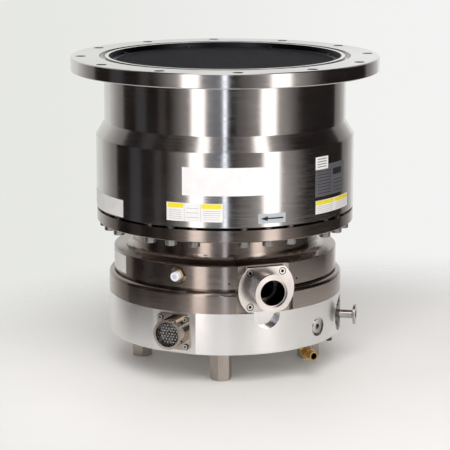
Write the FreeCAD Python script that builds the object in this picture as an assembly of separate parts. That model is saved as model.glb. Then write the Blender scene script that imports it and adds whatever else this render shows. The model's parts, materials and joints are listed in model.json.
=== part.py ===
import FreeCAD, Part
import math
import os
from FreeCAD import Vector

# Turbomolecular pump, standing on its four legs.
# Lengths are in millimetres, angles in degrees. +Z is up and the origin is the middle of the floor
# under the legs. An azimuth is counted from the front (-Y) towards +X.

# Legs
leg_count = 4
leg_length = 47.6
leg_flats = 28.0
leg_inset = 47.2
leg_turns = (18.0, 30.0, 48.0, 6.0)
leg_hole_radius = 5.1
leg_hole_depth = 20.0
leg_edge = 1.2

# Base housing, the silver ring
housing_radius = 172.2
housing_height = 60.1
housing_wall = 52.2
housing_sill = 14.4
housing_edge = 0.8
cover_inset = 21.0
cover_lap = 12.0
cover_thickness = 5.6
cover_screw_count = 8

# Base body, from its lower ring up to the casing
lower_ring_height = 28.1
shoulder_radius = 6.0
ring_gap_height = 3.1
ring_gap_cut = 11.7
upper_ring_step = 7.7
upper_ring_height = 32.8
neck_step = 28.5
neck_height = 39.2
neck_fillet = 11.0
neck_wall = 12.0
base_flange_step = 0.3
base_flange_thickness = 17.1
base_flange_edge = 1.0
casing_gap = 3.0
land_step = 9.0
land_width = 18.5
chamber_floor = 14.3
pin_hole_azimuths = (-37.7, 4.7, 40.9)
pin_hole_radius = 1.5
pin_hole_depth = 8.0
pin_hole_rise = 8.0

# Casing
casing_radius = 189.3
casing_wide_height = 106.1
casing_cone_height = 20.8
casing_cone_step = 12.4
casing_slim_height = 72.3
casing_slim_wall = 10.9
flange_width = 41.5
flange_thickness = 20.7
flange_edge = 1.2
flange_hole_count = 12
flange_hole_radius = 7.5
flange_hole_inset = 15.0
flange_hole_azimuth = 7.5
groove_land = 5.5
groove_width = 8.5
groove_depth = 5.0
inlet_step = 3.5
screen_seat_depth = 8.8
lip_reach = 7.0
lip_thickness = 5.2

# Casing bolts, in eight groups of three
bolt_groups = 8
bolt_group_azimuth = 22.5
bolt_group_step = 11.25
bolt_inset = 11.8
bolt_radius = 4.95
bolt_hole_clearance = 0.05
flange_bolt_clearance = 0.5
bolt_depth = 15.0
bolt_hole_spare = 4.0
bolt_head_radius = 8.0
bolt_head_height = 8.5
bolt_socket = 8.0
bolt_spacer_radius = 5.9

# Inlet screen
screen_wire = 0.8
screen_pitch = 8.0
screen_turn = 4.0
screen_crossing = 90.0
screen_ring_gap = 0.5
screen_screw_count = 8
screen_screw_azimuth = 22.5
screen_screw_inset = 5.5

# Blade rows, from the inlet down
rotor_top_gap = 2.0
rotor_row_heights = (18.0, 16.0, 14.0, 12.0, 10.0, 9.0)
stator_row_heights = (10.0, 9.0, 8.0, 8.0, 7.0)
blade_angles = (42.0, 38.0, 34.0, 30.0, 27.0, 25.0)
blade_count = 22
blade_thickness = 1.8
row_gap = 1.2
tip_gap = 1.0
root_radius = 72.0
root_step = 4.0
stator_ring_gap = 1.5
stator_ring_wall = 3.0
stator_rim_thickness = 2.0
stator_rim_width = 4.9
stator_rim_overlap = 3.0
stator_split = 0.3
spacer_wall = 7.35
spacer_fit = 0.15
rebate_fit = 0.1

# Drag stage under the blade rows
skirt_wall = 7.0
skirt_floor_gap = 5.9
web_gap = 3.0
web_thickness = 10.0
drag_gap = 0.6
drag_shell_wall = 12.25
thread_starts = 6
thread_depth = 8.0
thread_rib = 12.0
thread_lead = 249.0

# Rotor bell and shaft
bell_bore = 64.0
bell_plate_depth = 26.0
bell_plate_thickness = 16.0
bell_recess_radius = 60.0
spigot_radius = 12.0
rotor_bolt_count = 8
rotor_bolt_circle = 28.0
shaft_radius = 20.0
shaft_flange_radius = 38.0
shaft_flange_thickness = 10.0
shaft_tail_radius = 16.0
shaft_end_gap = 0.5
sleeve_thickness = 3.0
press_clearance = 0.05

# Bearing column and what it holds
column_radius = 60.0
column_bore = 46.0
column_flange_radius = 78.0
column_flange_thickness = 8.0
column_top_gap = 8.0
column_top_thickness = 16.0
column_screw_count = 6
column_screw_circle = 69.0
spigot_outer = 51.9
spigot_bore = 49.5
spigot_fit = 0.1
cap_thickness = 6.0
cap_post_radius = 14.0
cap_post_height = 2.0
insert_fit = 0.1
magnet_air = 0.5
radial_magnet_length = 38.0
radial_pole_count = 8
radial_pole_width = 9.0
radial_yoke_wall = 6.0
coil_thickness = 2.6
coil_margin = 0.2
coil_depth = 6.2
motor_length = 84.0
motor_slots = 12
motor_slot_width = 5.0
motor_slot_depth = 12.0
motor_tooth_tip = 1.5
motor_air = 0.7
winding_height = 8.0
winding_gap = 5.0
winding_edge = 2.5
sensor_length = 12.0
axial_sensor_radius = 8.0
axial_sensor_height = 3.5
inner_spacing = 4.0
thrust_disc_radius = 48.0
thrust_disc_thickness = 8.0
axial_magnet_length = 18.5
axial_magnet_slot = 5.0
axial_magnet_gap = 2.0
nut_radius = 22.0
nut_thickness = 9.0

# Touchdown bearings
race_gap = 0.15
race_height = 12.0
race_seat_gap = 2.0
race_wall = 3.8
ball_radius = 3.0
ball_count = 9
ball_play = 0.04
race_groove_depth = 0.5
outer_race_wall = 4.8

# Exhaust port
exhaust_azimuth = 22.5
exhaust_rise = 34.3
exhaust_pocket_cut = 12.2
exhaust_pocket_half_width = 42.5
exhaust_plate_radius = 42.0
exhaust_plate_half_height = 32.0
exhaust_plate_thickness = 12.0
exhaust_tube_radius = 21.75
exhaust_bore = 18.2
exhaust_stand = 28.8
exhaust_flange = 27.5
exhaust_rim = 3.5
exhaust_seat_radius = 20.6
exhaust_seat_depth = 4.0
exhaust_screw_spacing = 48.7
exhaust_screw_sink = 5.2
exhaust_sink_radius = 4.75
exhaust_duct_radius = 16.0
taper_angle = 15.0
notch_azimuth = 23.0
notch_radius = 19.6
notch_drop = 4.1
notch_depth = 12.0

# Purge port
purge_azimuth = 82.0
purge_drop = 4.65
purge_pocket_cut = 13.2
purge_pocket_radius = 27.5
purge_plate_radius = 25.2
purge_plate_thickness = 6.0
purge_tube_radius = 6.4
purge_bore = 5.0
purge_duct_radius = 4.0
purge_stand = 24.8
purge_flange = 15.0
purge_rim = 3.0
purge_seat_radius = 6.1
purge_seat_depth = 3.0
purge_screw_offset = 18.8

# Electrical connector
connector_azimuth = -22.5
connector_rise = 0.85
connector_flat_cut = 3.3
connector_flange_side = 51.0
connector_flange_corner = 6.0
connector_flange_thickness = 3.2
connector_barrel_radius = 21.5
connector_bore = 18.0
connector_stand = 19.8
connector_hole_fit = 0.3
insert_recess = 15.0
insert_length = 27.0
pin_rings = 3
pin_spacing = 4.6
pin_radius = 0.9
pin_length = 8.0
connector_screw_spacing = 39.5

# Plug, vent fitting and water fittings
plug_azimuth = 54.0
plug_drop = 4.65
plug_radius = 11.0
plug_face_radius = 14.0
plug_face_cut = 5.3
plug_length = 12.0
plug_stand = 3.8
plug_socket = 8.0
vent_azimuth = -21.0
vent_rise = 17.5
vent_face_radius = 12.5
vent_face_cut = 3.6
vent_flats = 19.0
vent_hex_length = 7.5
vent_stub_radius = 4.4
vent_stub_length = 20.0
vent_nipple_radius = 4.0
vent_cap_radius = 6.5
vent_cap_length = 8.6
vent_cap_end = 2.2
water_flats = 16.0
water_hex_length = 10.0
water_nose_radius = 6.5
water_bore = 4.75
water_bore_depth = 14.0
water_tail_radius = 6.0
water_nose_length = 11.0
inlet_water_azimuth = 48.8
inlet_water_turn = 33.0
inlet_water_height = 36.0
inlet_water_length = 30.0
inlet_water_inset = 16.3
outlet_water_azimuth = 72.0
outlet_water_inset = 9.2
outlet_nipple_radius = 3.3
outlet_nipple_bore = 1.8
outlet_nipple_length = 7.0
outlet_cap_radius = 4.9
outlet_cap_gap = 0.4
outlet_cap_end = 1.8

# Small socket screws: shank radius, head radius, head height, socket across flats
m6_screw = (3.0, 5.0, 6.0, 5.0)
m5_screw = (2.5, 4.25, 5.0, 4.0)
m4_screw = (2.0, 3.5, 3.0, 2.5)
m3_screw = (1.5, 2.75, 2.2, 2.0)
screw_fit = 0.05
screw_bite = 11.0
port_seal_wall = 3.2
port_seal_height = 2.4
port_seal_gap = 3.6

# How far a cutting tool runs on into open space
tool_overrun = 5.0

# Radii that follow the casing
base_flange_radius = casing_radius - base_flange_step
bolt_circle = casing_radius - bolt_inset
land_radius = bolt_circle - land_step
land_bore = land_radius - land_width
casing_slim_radius = casing_radius - casing_cone_step
casing_bore = casing_slim_radius - casing_slim_wall
lip_radius = casing_bore - lip_reach
inlet_radius = casing_bore + inlet_step
groove_inner = inlet_radius + groove_land
groove_outer = groove_inner + groove_width
flange_radius = groove_outer + flange_width
flange_hole_circle = flange_radius - flange_hole_inset
screen_screw_circle = inlet_radius - screen_screw_inset
stack_radius = casing_bore - spacer_fit
spacer_bore = stack_radius - spacer_wall
blade_tip = spacer_bore - tip_gap
stator_rim_radius = spacer_bore + stator_rim_width
skirt_radius = stack_radius - drag_shell_wall - thread_depth - drag_gap

# Radii and depths that follow the silver housing
housing_room_radius = housing_radius - housing_wall
leg_circle = housing_radius - leg_inset
cover_radius = leg_circle - cover_inset
cover_screw_circle = cover_radius - cover_lap / 2
housing_bore = cover_radius - cover_lap
upper_ring_radius = housing_radius - upper_ring_step
ring_gap_radius = housing_radius - ring_gap_cut
neck_radius = upper_ring_radius - neck_step
chamber_radius = neck_radius - neck_wall
exhaust_pocket_depth = housing_radius - exhaust_pocket_cut
exhaust_reach = housing_radius + exhaust_stand
purge_pocket_depth = housing_radius - purge_pocket_cut
purge_reach = housing_radius + purge_stand
connector_flat_depth = housing_radius - connector_flat_cut
connector_reach = housing_radius + connector_stand
plug_face_depth = housing_radius - plug_face_cut
vent_face_depth = upper_ring_radius - vent_face_cut
inlet_water_circle = housing_radius - inlet_water_inset
outlet_water_circle = housing_radius - outlet_water_inset

# Levels, upwards from the floor
housing_base = leg_length
housing_top = housing_base + housing_height
housing_middle = (housing_base + housing_top) / 2
connector_height = housing_middle + connector_rise
purge_height = housing_middle - purge_drop
plug_height = housing_middle - plug_drop
lower_ring_top = housing_top + lower_ring_height
ring_gap_base = lower_ring_top + ring_gap_height
upper_ring_base = ring_gap_base + ring_gap_height
upper_ring_top = upper_ring_base + upper_ring_height
base_flange_base = upper_ring_top + neck_height
base_flange_top = base_flange_base + base_flange_thickness
casing_base = base_flange_top + casing_gap
cone_base = casing_base + casing_wide_height
cone_top = cone_base + casing_cone_height
flange_base = cone_top + casing_slim_height
flange_top = flange_base + flange_thickness
screen_base = flange_top - screen_seat_depth
lip_base = screen_base - lip_thickness
chamber_base = housing_top + chamber_floor
exhaust_height = housing_top + exhaust_rise

# Levels of the blade rows, downwards from under the lip
row_count = len(rotor_row_heights)
rotor_top = lip_base - rotor_top_gap
rotor_rows = []
stator_rows = []
level = rotor_top
for index in range(row_count):
    rotor_rows.append((level - rotor_row_heights[index], level))
    level -= rotor_row_heights[index] + row_gap
    if index < row_count - 1:
        stator_rows.append((level - stator_row_heights[index], level))
        level -= stator_row_heights[index] + row_gap
web_top = rotor_rows[-1][0] - web_gap
web_base = web_top - web_thickness
skirt_base = casing_base + skirt_floor_gap

# Levels along the shaft
plate_top = rotor_top - bell_plate_depth
plate_base = plate_top - bell_plate_thickness
shaft_flange_base = plate_base - shaft_flange_thickness
column_top = shaft_flange_base - column_top_gap
upper_race_base = column_top - column_top_thickness
upper_race_low = upper_race_base + race_seat_gap
column_flange_base = chamber_base
column_flange_top = column_flange_base + column_flange_thickness
lower_race_base = column_flange_base + inner_spacing
lower_sensor_base = lower_race_base + race_height + inner_spacing
lower_magnet_base = lower_sensor_base + sensor_length + inner_spacing
motor_base = lower_magnet_base + radial_magnet_length + winding_height + inner_spacing
upper_magnet_base = motor_base + motor_length + winding_height + inner_spacing
upper_sensor_base = upper_magnet_base + radial_magnet_length + inner_spacing
upper_thrust_base = column_flange_base - 2.0 * inner_spacing - axial_magnet_length
thrust_disc_top = upper_thrust_base - magnet_air
thrust_disc_base = thrust_disc_top - thrust_disc_thickness
lower_thrust_base = thrust_disc_base - magnet_air - axial_magnet_length
cap_top = lower_thrust_base
cap_base = cap_top - cap_thickness
axial_sensor_base = cap_top + cap_post_height
shaft_base = axial_sensor_base + axial_sensor_height + shaft_end_gap
stator_inner = shaft_radius + magnet_air
insert_radius = column_bore - insert_fit

ORIGIN = Vector(0, 0, 0)
UP = Vector(0, 0, 1)
ACROSS = Vector(1, 0, 0)


def cylinder(radius, low, high, x=0.0, y=0.0):
    """Round bar along Z between two levels."""
    return Part.makeCylinder(radius, high - low, Vector(x, y, low), UP)


def box(x_half, y_half, low, high, y_middle=0.0):
    """Block centred on X, between two levels."""
    corner = Vector(-x_half, y_middle - y_half, low)
    return Part.makeBox(2 * x_half, 2 * y_half, high - low, corner)


def outline(points):
    """Closed face in the XZ plane; a point (r, z, via_r, via_z) is reached by an arc."""
    edges = []
    here = Vector(points[0][0], 0, points[0][1])
    for point in list(points[1:]) + [points[0][:2]]:
        there = Vector(point[0], 0, point[1])
        if len(point) == 4:
            edges.append(Part.Arc(here, Vector(point[2], 0, point[3]), there).toShape())
        else:
            edges.append(Part.makeLine(here, there))
        here = there
    return Part.Face(Part.Wire(edges))


def turned(points):
    """Solid of revolution about Z."""
    solid = outline(points).revolve(ORIGIN, UP, 360)
    if solid.Volume < 0:
        solid.reverse()
    return solid


def ring(outer, inner, low, high):
    """Plain ring about Z."""
    return turned([(inner, low), (outer, low), (outer, high), (inner, high)])


def hexagon(flats, low, high, turn=0.0):
    """Hexagonal bar about Z; at turn 0 a flat faces the front."""
    reach = flats / math.sqrt(3)
    corners = []
    for index in range(7):
        angle = math.radians(60 * index + turn)
        corners.append(Vector(reach * math.cos(angle), reach * math.sin(angle), low))
    return Part.Face(Part.makePolygon(corners)).extrude(Vector(0, 0, high - low))


def turned_to(shape, azimuth):
    """Copy of a shape modelled at the front, swung round to an azimuth."""
    copy = shape.copy()
    copy.rotate(ORIGIN, UP, azimuth)
    return copy


def moved(shape, x=0.0, y=0.0, z=0.0):
    """Copy of a shape, shifted."""
    copy = shape.copy()
    copy.translate(Vector(x, y, z))
    return copy


def around(shape, count, start=0.0):
    """Copies of a shape, evenly round the axis."""
    return [turned_to(shape, start + 360.0 * index / count) for index in range(count)]


def port(shape, azimuth, height):
    """Places a shape modelled along Z, its Y upwards, so that it points outwards."""
    copy = shape.copy()
    copy.rotate(ORIGIN, ACROSS, 90)
    copy.translate(Vector(0, 0, height))
    copy.rotate(ORIGIN, UP, azimuth)
    return copy


def screw(size, bite, level):
    """Socket head screw along Z; the underside of its head is at the level."""
    shank_radius, head_radius, head_height, socket = size
    solid = cylinder(head_radius, level, level + head_height)
    solid = solid.fuse(cylinder(shank_radius, level - bite, level))
    return solid.cut(hexagon(socket, level + head_height / 2, level + head_height))


def screw_hole(size, bite, level):
    """Tool that cuts the hole of such a screw."""
    return cylinder(size[0] + screw_fit, level - bite, level)


def square_points(spacing):
    """Corners of a square, as offsets from its middle."""
    half = spacing / 2
    return [(half, half), (-half, half), (-half, -half), (half, -half)]


def bolt_azimuths():
    """Azimuths of the casing bolts, three to a group."""
    angles = []
    for group in range(bolt_groups):
        middle = bolt_group_azimuth + 360.0 * group / bolt_groups
        angles += [middle - bolt_group_step, middle, middle + bolt_group_step]
    return angles


# Casing with its inlet flange

def make_casing():
    edge = flange_edge
    body = turned([
        (casing_bore, casing_base),
        (casing_radius - edge, casing_base),
        (casing_radius, casing_base + edge),
        (casing_radius, cone_base),
        (casing_slim_radius, cone_top),
        (casing_slim_radius, flange_base),
        (flange_radius - edge, flange_base),
        (flange_radius, flange_base + edge),
        (flange_radius, flange_top - edge),
        (flange_radius - edge, flange_top),
        (groove_outer, flange_top),
        (groove_outer, flange_top - groove_depth),
        (groove_inner, flange_top - groove_depth),
        (groove_inner, flange_top),
        (inlet_radius, flange_top),
        (inlet_radius, screen_base),
        (lip_radius, screen_base),
        (lip_radius, lip_base),
        (casing_bore, lip_base),
    ])
    hole = cylinder(flange_hole_radius, flange_base, flange_top, y=-flange_hole_circle)
    tools = around(hole, flange_hole_count, flange_hole_azimuth)
    thread = cylinder(bolt_radius + bolt_hole_clearance, casing_base,
                      casing_base + bolt_depth + bolt_hole_spare, y=-bolt_circle)
    tools += [turned_to(thread, azimuth) for azimuth in bolt_azimuths()]
    small = cylinder(m3_screw[0] + screw_fit, lip_base, screen_base, y=-screen_screw_circle)
    tools += around(small, screen_screw_count, screen_screw_azimuth)
    return body.cut(tools)


def make_screen_layer(low, turn):
    """Ring with parallel wires across it, all one wire thick."""
    outer = inlet_radius - screen_ring_gap
    frame = ring(outer, lip_radius, low, low + screen_wire)
    half_count = int((lip_radius - screen_wire) / screen_pitch)
    wires = []
    for index in range(-half_count, half_count + 1):
        x = index * screen_pitch
        reach = math.sqrt(lip_radius ** 2 - x ** 2) + screen_wire
        wires.append(moved(box(screen_wire / 2, reach, low, low + screen_wire), x=x))
    layer = frame.multiFuse(wires)
    layer.rotate(ORIGIN, UP, turn)
    hole = cylinder(m3_screw[0] + screw_fit, low, low + screen_wire, y=-screen_screw_circle)
    return layer.cut(around(hole, screen_screw_count, screen_screw_azimuth))


def make_inlet_screen():
    lower = make_screen_layer(screen_base, screen_turn)
    upper = make_screen_layer(screen_base + screen_wire, screen_turn + screen_crossing)
    return Part.makeCompound([lower, upper])


def make_screen_screws():
    top = screen_base + 2 * screen_wire
    one = moved(screw(m3_screw, 2 * screen_wire + lip_thickness, top), y=-screen_screw_circle)
    return Part.makeCompound(around(one, screen_screw_count, screen_screw_azimuth))


# Blade rows

def blade(height, angle, lean, inner, tip):
    """Flat blade across the front, leaning by its angle, its outer corners on the tip circle."""
    run = lean * height / math.tan(math.radians(angle)) / 2
    half = blade_thickness / math.sin(math.radians(angle)) / 2
    outer = math.sqrt(tip ** 2 - (abs(run) + half) ** 2)
    corners = [
        Vector(-run - half, -inner, -height / 2),
        Vector(-run + half, -inner, -height / 2),
        Vector(run + half, -inner, height / 2),
        Vector(run - half, -inner, height / 2),
    ]
    section = Part.Face(Part.makePolygon(corners + corners[:1]))
    return section.extrude(Vector(0, inner - outer, 0))


def row_root(index):
    """Radius of the rotor hub at a blade row."""
    return root_radius + index * root_step


def make_rotor():
    hub = [
        (spigot_radius + press_clearance, plate_base),
        (bell_bore, plate_base),
        (bell_bore, web_base),
        (skirt_radius - skirt_wall, web_base),
        (skirt_radius - skirt_wall, skirt_base),
        (skirt_radius, skirt_base),
        (skirt_radius, web_top),
        (row_root(row_count - 1), web_top),
    ]
    for index in range(row_count - 1, 0, -1):
        step = rotor_rows[index][1]
        hub.append((row_root(index), step))
        hub.append((row_root(index - 1), step))
    hub += [
        (row_root(0), rotor_top),
        (bell_recess_radius, rotor_top),
        (bell_recess_radius, plate_top),
        (spigot_radius + press_clearance, plate_top),
    ]
    blades = []
    for index, (low, high) in enumerate(rotor_rows):
        inner = row_root(index) - stator_ring_wall
        one = blade(high - low, blade_angles[index], 1, inner, blade_tip)
        blades += around(moved(one, z=(low + high) / 2), blade_count)
    solid = turned(hub).multiFuse(blades)
    hole = cylinder(m6_screw[0] + screw_fit, plate_base, plate_top, y=-rotor_bolt_circle)
    return solid.cut(around(hole, rotor_bolt_count))


def make_rotor_bolts():
    bite = bell_plate_thickness + shaft_flange_thickness / 2
    one = moved(screw(m6_screw, bite, plate_top), y=-rotor_bolt_circle)
    return Part.makeCompound(around(one, rotor_bolt_count))


def make_stator_disc(index):
    """Stator blade disc in two halves, so that it goes between two rotor rows."""
    low, high = stator_rows[index]
    middle = (low + high) / 2
    inner = row_root(index) + stator_ring_gap
    hub = ring(inner + stator_ring_wall, inner, low, high)
    rim_low = middle - stator_rim_thickness / 2
    rim = ring(stator_rim_radius, spacer_bore - stator_rim_overlap,
               rim_low, rim_low + stator_rim_thickness)
    one = blade(high - low, blade_angles[index], -1, inner + stator_ring_wall / 2,
                spacer_bore - rebate_fit)
    blades = around(moved(one, z=middle), blade_count, 180.0 / blade_count)
    disc = hub.multiFuse([rim] + blades)
    slit = box(stator_split / 2, stator_rim_radius + stator_ring_wall, low, high)
    disc = disc.cut(slit)
    return disc


def make_stator_spacer(index):
    """Spacer ring round one rotor row; a rebate in its top holds the stator rim above it."""
    top = lip_base if index == 0 else rim_top(index - 1)
    low = web_top if index == row_count - 1 else rim_top(index)
    if index == 0:
        return ring(stack_radius, spacer_bore, low, top)
    rebate = stator_rim_radius + rebate_fit
    floor = top - stator_rim_thickness
    return turned([
        (spacer_bore, low), (stack_radius, low), (stack_radius, top),
        (rebate, top), (rebate, floor), (spacer_bore, floor),
    ])


def rim_top(index):
    """Level of the top of a stator disc's rim."""
    low, high = stator_rows[index]
    return (low + high + stator_rim_thickness) / 2


def make_threaded_stator():
    """Drag stator: a ring with helical ribs inside, as a screw of several starts."""
    inner = skirt_radius + drag_gap
    wall = inner + thread_depth
    shell = ring(stack_radius, wall, casing_base, web_top)
    height = web_top - casing_base + 2 * thread_rib
    start = casing_base - thread_rib
    spine = Part.Wire(Part.makeHelix(thread_lead, height, inner).Edges)
    spine.translate(Vector(0, 0, start))
    half = thread_rib / 2
    section = outline([
        (inner - drag_gap, start - half), (wall + drag_gap, start - half),
        (wall + drag_gap, start + half), (inner - drag_gap, start + half),
    ]).OuterWire
    rib = spine.makePipeShell([section], True, True)
    if rib.Volume < 0:
        rib.reverse()
    room = ring(wall + drag_gap / 2, inner, casing_base, web_top)
    rib = rib.common(room)
    return shell.multiFuse(around(rib, thread_starts))


# Base body, between the casing and the silver housing

def make_base_body():
    shoulder = shoulder_radius
    bend = shoulder * (1 - math.sqrt(0.5))
    hollow = neck_fillet * math.sqrt(0.5)
    edge = base_flange_edge
    body = turned([
        (spigot_outer + spigot_fit, housing_top),
        (housing_radius, housing_top),
        (housing_radius, ring_gap_base - shoulder),
        (housing_radius - shoulder, ring_gap_base, housing_radius - bend, ring_gap_base - bend),
        (ring_gap_radius, ring_gap_base),
        (ring_gap_radius, upper_ring_base),
        (upper_ring_radius, upper_ring_base),
        (upper_ring_radius, upper_ring_top - edge),
        (upper_ring_radius - edge, upper_ring_top),
        (neck_radius + neck_fillet, upper_ring_top),
        (neck_radius, upper_ring_top + neck_fillet,
         neck_radius + neck_fillet - hollow, upper_ring_top + neck_fillet - hollow),
        (neck_radius, base_flange_base),
        (base_flange_radius - edge, base_flange_base),
        (base_flange_radius, base_flange_base + edge),
        (base_flange_radius, base_flange_top),
        (land_radius, base_flange_top),
        (land_radius, casing_base),
        (land_bore, casing_base),
        (land_bore, base_flange_top),
        (chamber_radius, base_flange_base),
        (chamber_radius, chamber_base),
        (spigot_outer + spigot_fit, chamber_base),
    ])
    bolt_hole = cylinder(bolt_radius + flange_bolt_clearance, base_flange_base,
                         base_flange_top, y=-bolt_circle)
    tools = [turned_to(bolt_hole, azimuth) for azimuth in bolt_azimuths()]
    pocket_low = housing_top - exhaust_height
    pocket_high = upper_ring_top - exhaust_height
    pocket = box(exhaust_pocket_half_width, (pocket_high - pocket_low) / 2, exhaust_pocket_depth,
                 housing_radius, (pocket_high + pocket_low) / 2)
    duct = cylinder(exhaust_duct_radius, chamber_radius - tool_overrun, exhaust_pocket_depth)
    tools += [port(tool, exhaust_azimuth, exhaust_height) for tool in (pocket, duct)]
    for x, y in square_points(exhaust_screw_spacing):
        hole = moved(screw_hole(m5_screw, screw_bite, exhaust_pocket_depth), x, y)
        tools.append(port(hole, exhaust_azimuth, exhaust_height))
    face = cylinder(vent_face_radius, vent_face_depth, upper_ring_radius + tool_overrun)
    stub = cylinder(vent_stub_radius + screw_fit, chamber_radius - tool_overrun, vent_face_depth)
    vent_height = upper_ring_base + vent_rise
    tools += [port(tool, vent_azimuth, vent_height) for tool in (face, stub)]
    pin_hole = cylinder(pin_hole_radius, upper_ring_radius - pin_hole_depth,
                        upper_ring_radius + tool_overrun)
    for azimuth in pin_hole_azimuths:
        tools.append(port(pin_hole, azimuth, upper_ring_base + pin_hole_rise))
    seat = cylinder(m6_screw[0] + screw_fit, chamber_base - screw_bite, chamber_base,
                    y=-column_screw_circle)
    tools += around(seat, column_screw_count)
    return body.cut(tools)


def make_casing_seal():
    """O-ring squeezed between casing and base body, round the land."""
    cord = casing_gap / 2
    middle = base_flange_top + cord
    radius = cord - bolt_hole_clearance
    return Part.makeTorus(land_radius + cord, radius, Vector(0, 0, middle), UP)


def make_casing_bolts():
    low = base_flange_base - bolt_head_height
    head = cylinder(bolt_head_radius, low, base_flange_base)
    shank = cylinder(bolt_radius, base_flange_base, casing_base + bolt_depth)
    one = head.fuse(shank).cut(hexagon(bolt_socket, low, low + bolt_head_height / 2))
    one = moved(one, y=-bolt_circle)
    return Part.makeCompound([turned_to(one, azimuth) for azimuth in bolt_azimuths()])


def make_bolt_spacers():
    one = moved(ring(bolt_spacer_radius, bolt_radius + bolt_hole_clearance,
                     base_flange_top, casing_base), y=-bolt_circle)
    return Part.makeCompound([turned_to(one, azimuth) for azimuth in bolt_azimuths()])


# Bearing column and the parts in it

def make_bearing_column():
    body = turned([
        (spigot_bore, cap_top),
        (spigot_outer, cap_top),
        (spigot_outer, column_flange_base),
        (column_flange_radius, column_flange_base),
        (column_flange_radius, column_flange_top),
        (column_radius, column_flange_top),
        (column_radius, column_top),
        (outer_race_radius(), column_top),
        (outer_race_radius(), upper_race_base),
        (column_bore, upper_race_base),
        (column_bore, column_flange_base),
        (spigot_bore, column_flange_base),
    ])
    hole = cylinder(m6_screw[0] + screw_fit, column_flange_base, column_flange_top,
                    y=-column_screw_circle)
    return body.cut(around(hole, column_screw_count))


def make_column_screws():
    bite = column_flange_thickness + screw_bite
    one = moved(screw(m6_screw, bite, column_flange_top), y=-column_screw_circle)
    return Part.makeCompound(around(one, column_screw_count))


def make_column_cap():
    plate = cylinder(spigot_outer, cap_base, cap_top)
    return plate.fuse(cylinder(cap_post_radius, cap_top, axial_sensor_base))


def make_radial_magnet(base):
    """Laminated yoke with poles that point at the shaft."""
    top = base + radial_magnet_length
    yoke = ring(insert_radius, insert_radius - radial_yoke_wall, base, top)
    pole = box(radial_pole_width / 2, insert_radius / 2, base, top, -insert_radius / 2)
    poles = []
    for piece in around(pole, radial_pole_count):
        poles.append(piece.common(ring(insert_radius - radial_yoke_wall / 2, stator_inner, base, top)))
    return yoke.multiFuse(poles)


def make_bearing_coils():
    """A coil round each pole of both radial magnets."""
    reach = insert_radius - radial_yoke_wall - coil_thickness
    start = reach - coil_depth
    coils = []
    for base in (lower_magnet_base, upper_magnet_base):
        low = base - coil_margin
        high = base + radial_magnet_length + coil_margin
        half = radial_pole_width / 2 + coil_margin
        depth = (reach - start) / 2
        middle = -(reach + start) / 2
        outer = box(half + coil_thickness, depth, low - coil_thickness, high + coil_thickness, middle)
        coils += around(outer.cut(box(half, depth, low, high, middle)), radial_pole_count)
    return Part.makeCompound(coils)


def make_motor_stator():
    top = motor_base + motor_length
    inner = shaft_radius + motor_air
    core = ring(insert_radius, inner, motor_base, top)
    slot = box(motor_slot_width / 2, motor_slot_depth / 2, motor_base, top,
               -inner - motor_tooth_tip - motor_slot_depth / 2)
    return core.cut(around(slot, motor_slots))


def make_motor_winding():
    """Copper end turns above and below the motor core."""
    inner = shaft_radius + winding_gap
    outer = inner + motor_slot_depth
    bend = winding_edge
    coils = []
    for low, side in ((motor_base, -1), (motor_base + motor_length, 1)):
        tip = low + side * winding_height
        coils.append(turned([
            (inner, low), (outer, low), (outer, tip - side * bend), (outer - bend, tip),
            (inner + bend, tip), (inner, tip - side * bend),
        ]))
    return Part.makeCompound(coils)


def make_axial_magnet(base, side):
    """Ring magnet; its coil slot opens towards the thrust disc."""
    top = base + axial_magnet_length
    inner = nut_radius + axial_magnet_gap
    outer = spigot_bore - insert_fit
    middle = (inner + outer) / 2
    face = top if side > 0 else base
    body = ring(outer, inner, base, top)
    slot = ring(middle + axial_magnet_slot / 2, middle - axial_magnet_slot / 2,
                min(face, face - side * axial_magnet_slot), max(face, face - side * axial_magnet_slot))
    return body.cut(slot)


def make_position_sensors():
    parts = []
    for base in (lower_sensor_base, upper_sensor_base):
        parts.append(ring(insert_radius, stator_inner, base, base + sensor_length))
    parts.append(cylinder(axial_sensor_radius, axial_sensor_base,
                          axial_sensor_base + axial_sensor_height))
    return Part.makeCompound(parts)


# Touchdown bearings: the rotor lands on them when the magnets are off

def race_radii():
    """Bore of the inner ring and radius of the ball circle."""
    bore = shaft_radius + race_gap
    ball_circle = bore + race_wall - race_groove_depth + ball_play + ball_radius
    return bore, ball_circle


def outer_race_radius():
    """Outer radius of the upper bearing's outer ring."""
    return race_radii()[1] + outer_race_wall + ball_radius


def race_profile(low, near, track, side):
    """Ring with a round track; side is 1 where the track is on the outside."""
    top = low + race_height
    middle = low + race_height / 2
    shoulder = track + side * race_groove_depth
    centre = race_radii()[1]
    radius = ball_radius + ball_play
    half = math.sqrt(radius ** 2 - (centre - shoulder) ** 2)
    return [(near, low), (shoulder, low), (shoulder, middle - half),
            (shoulder, middle + half, centre - side * radius, middle), (shoulder, top), (near, top)]


def make_inner_race(low):
    bore, centre = race_radii()
    track = centre - ball_radius - ball_play
    return turned(race_profile(low, bore, track, 1))


def make_outer_race(low, outside):
    centre = race_radii()[1]
    track = centre + ball_radius + ball_play
    return turned(race_profile(low, outside, track, -1))


def make_balls(low):
    centre = race_radii()[1]
    ball = Part.makeSphere(ball_radius, Vector(0, -centre, low + race_height / 2))
    return Part.makeCompound(around(ball, ball_count))


# Shaft and the parts on it

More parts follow.
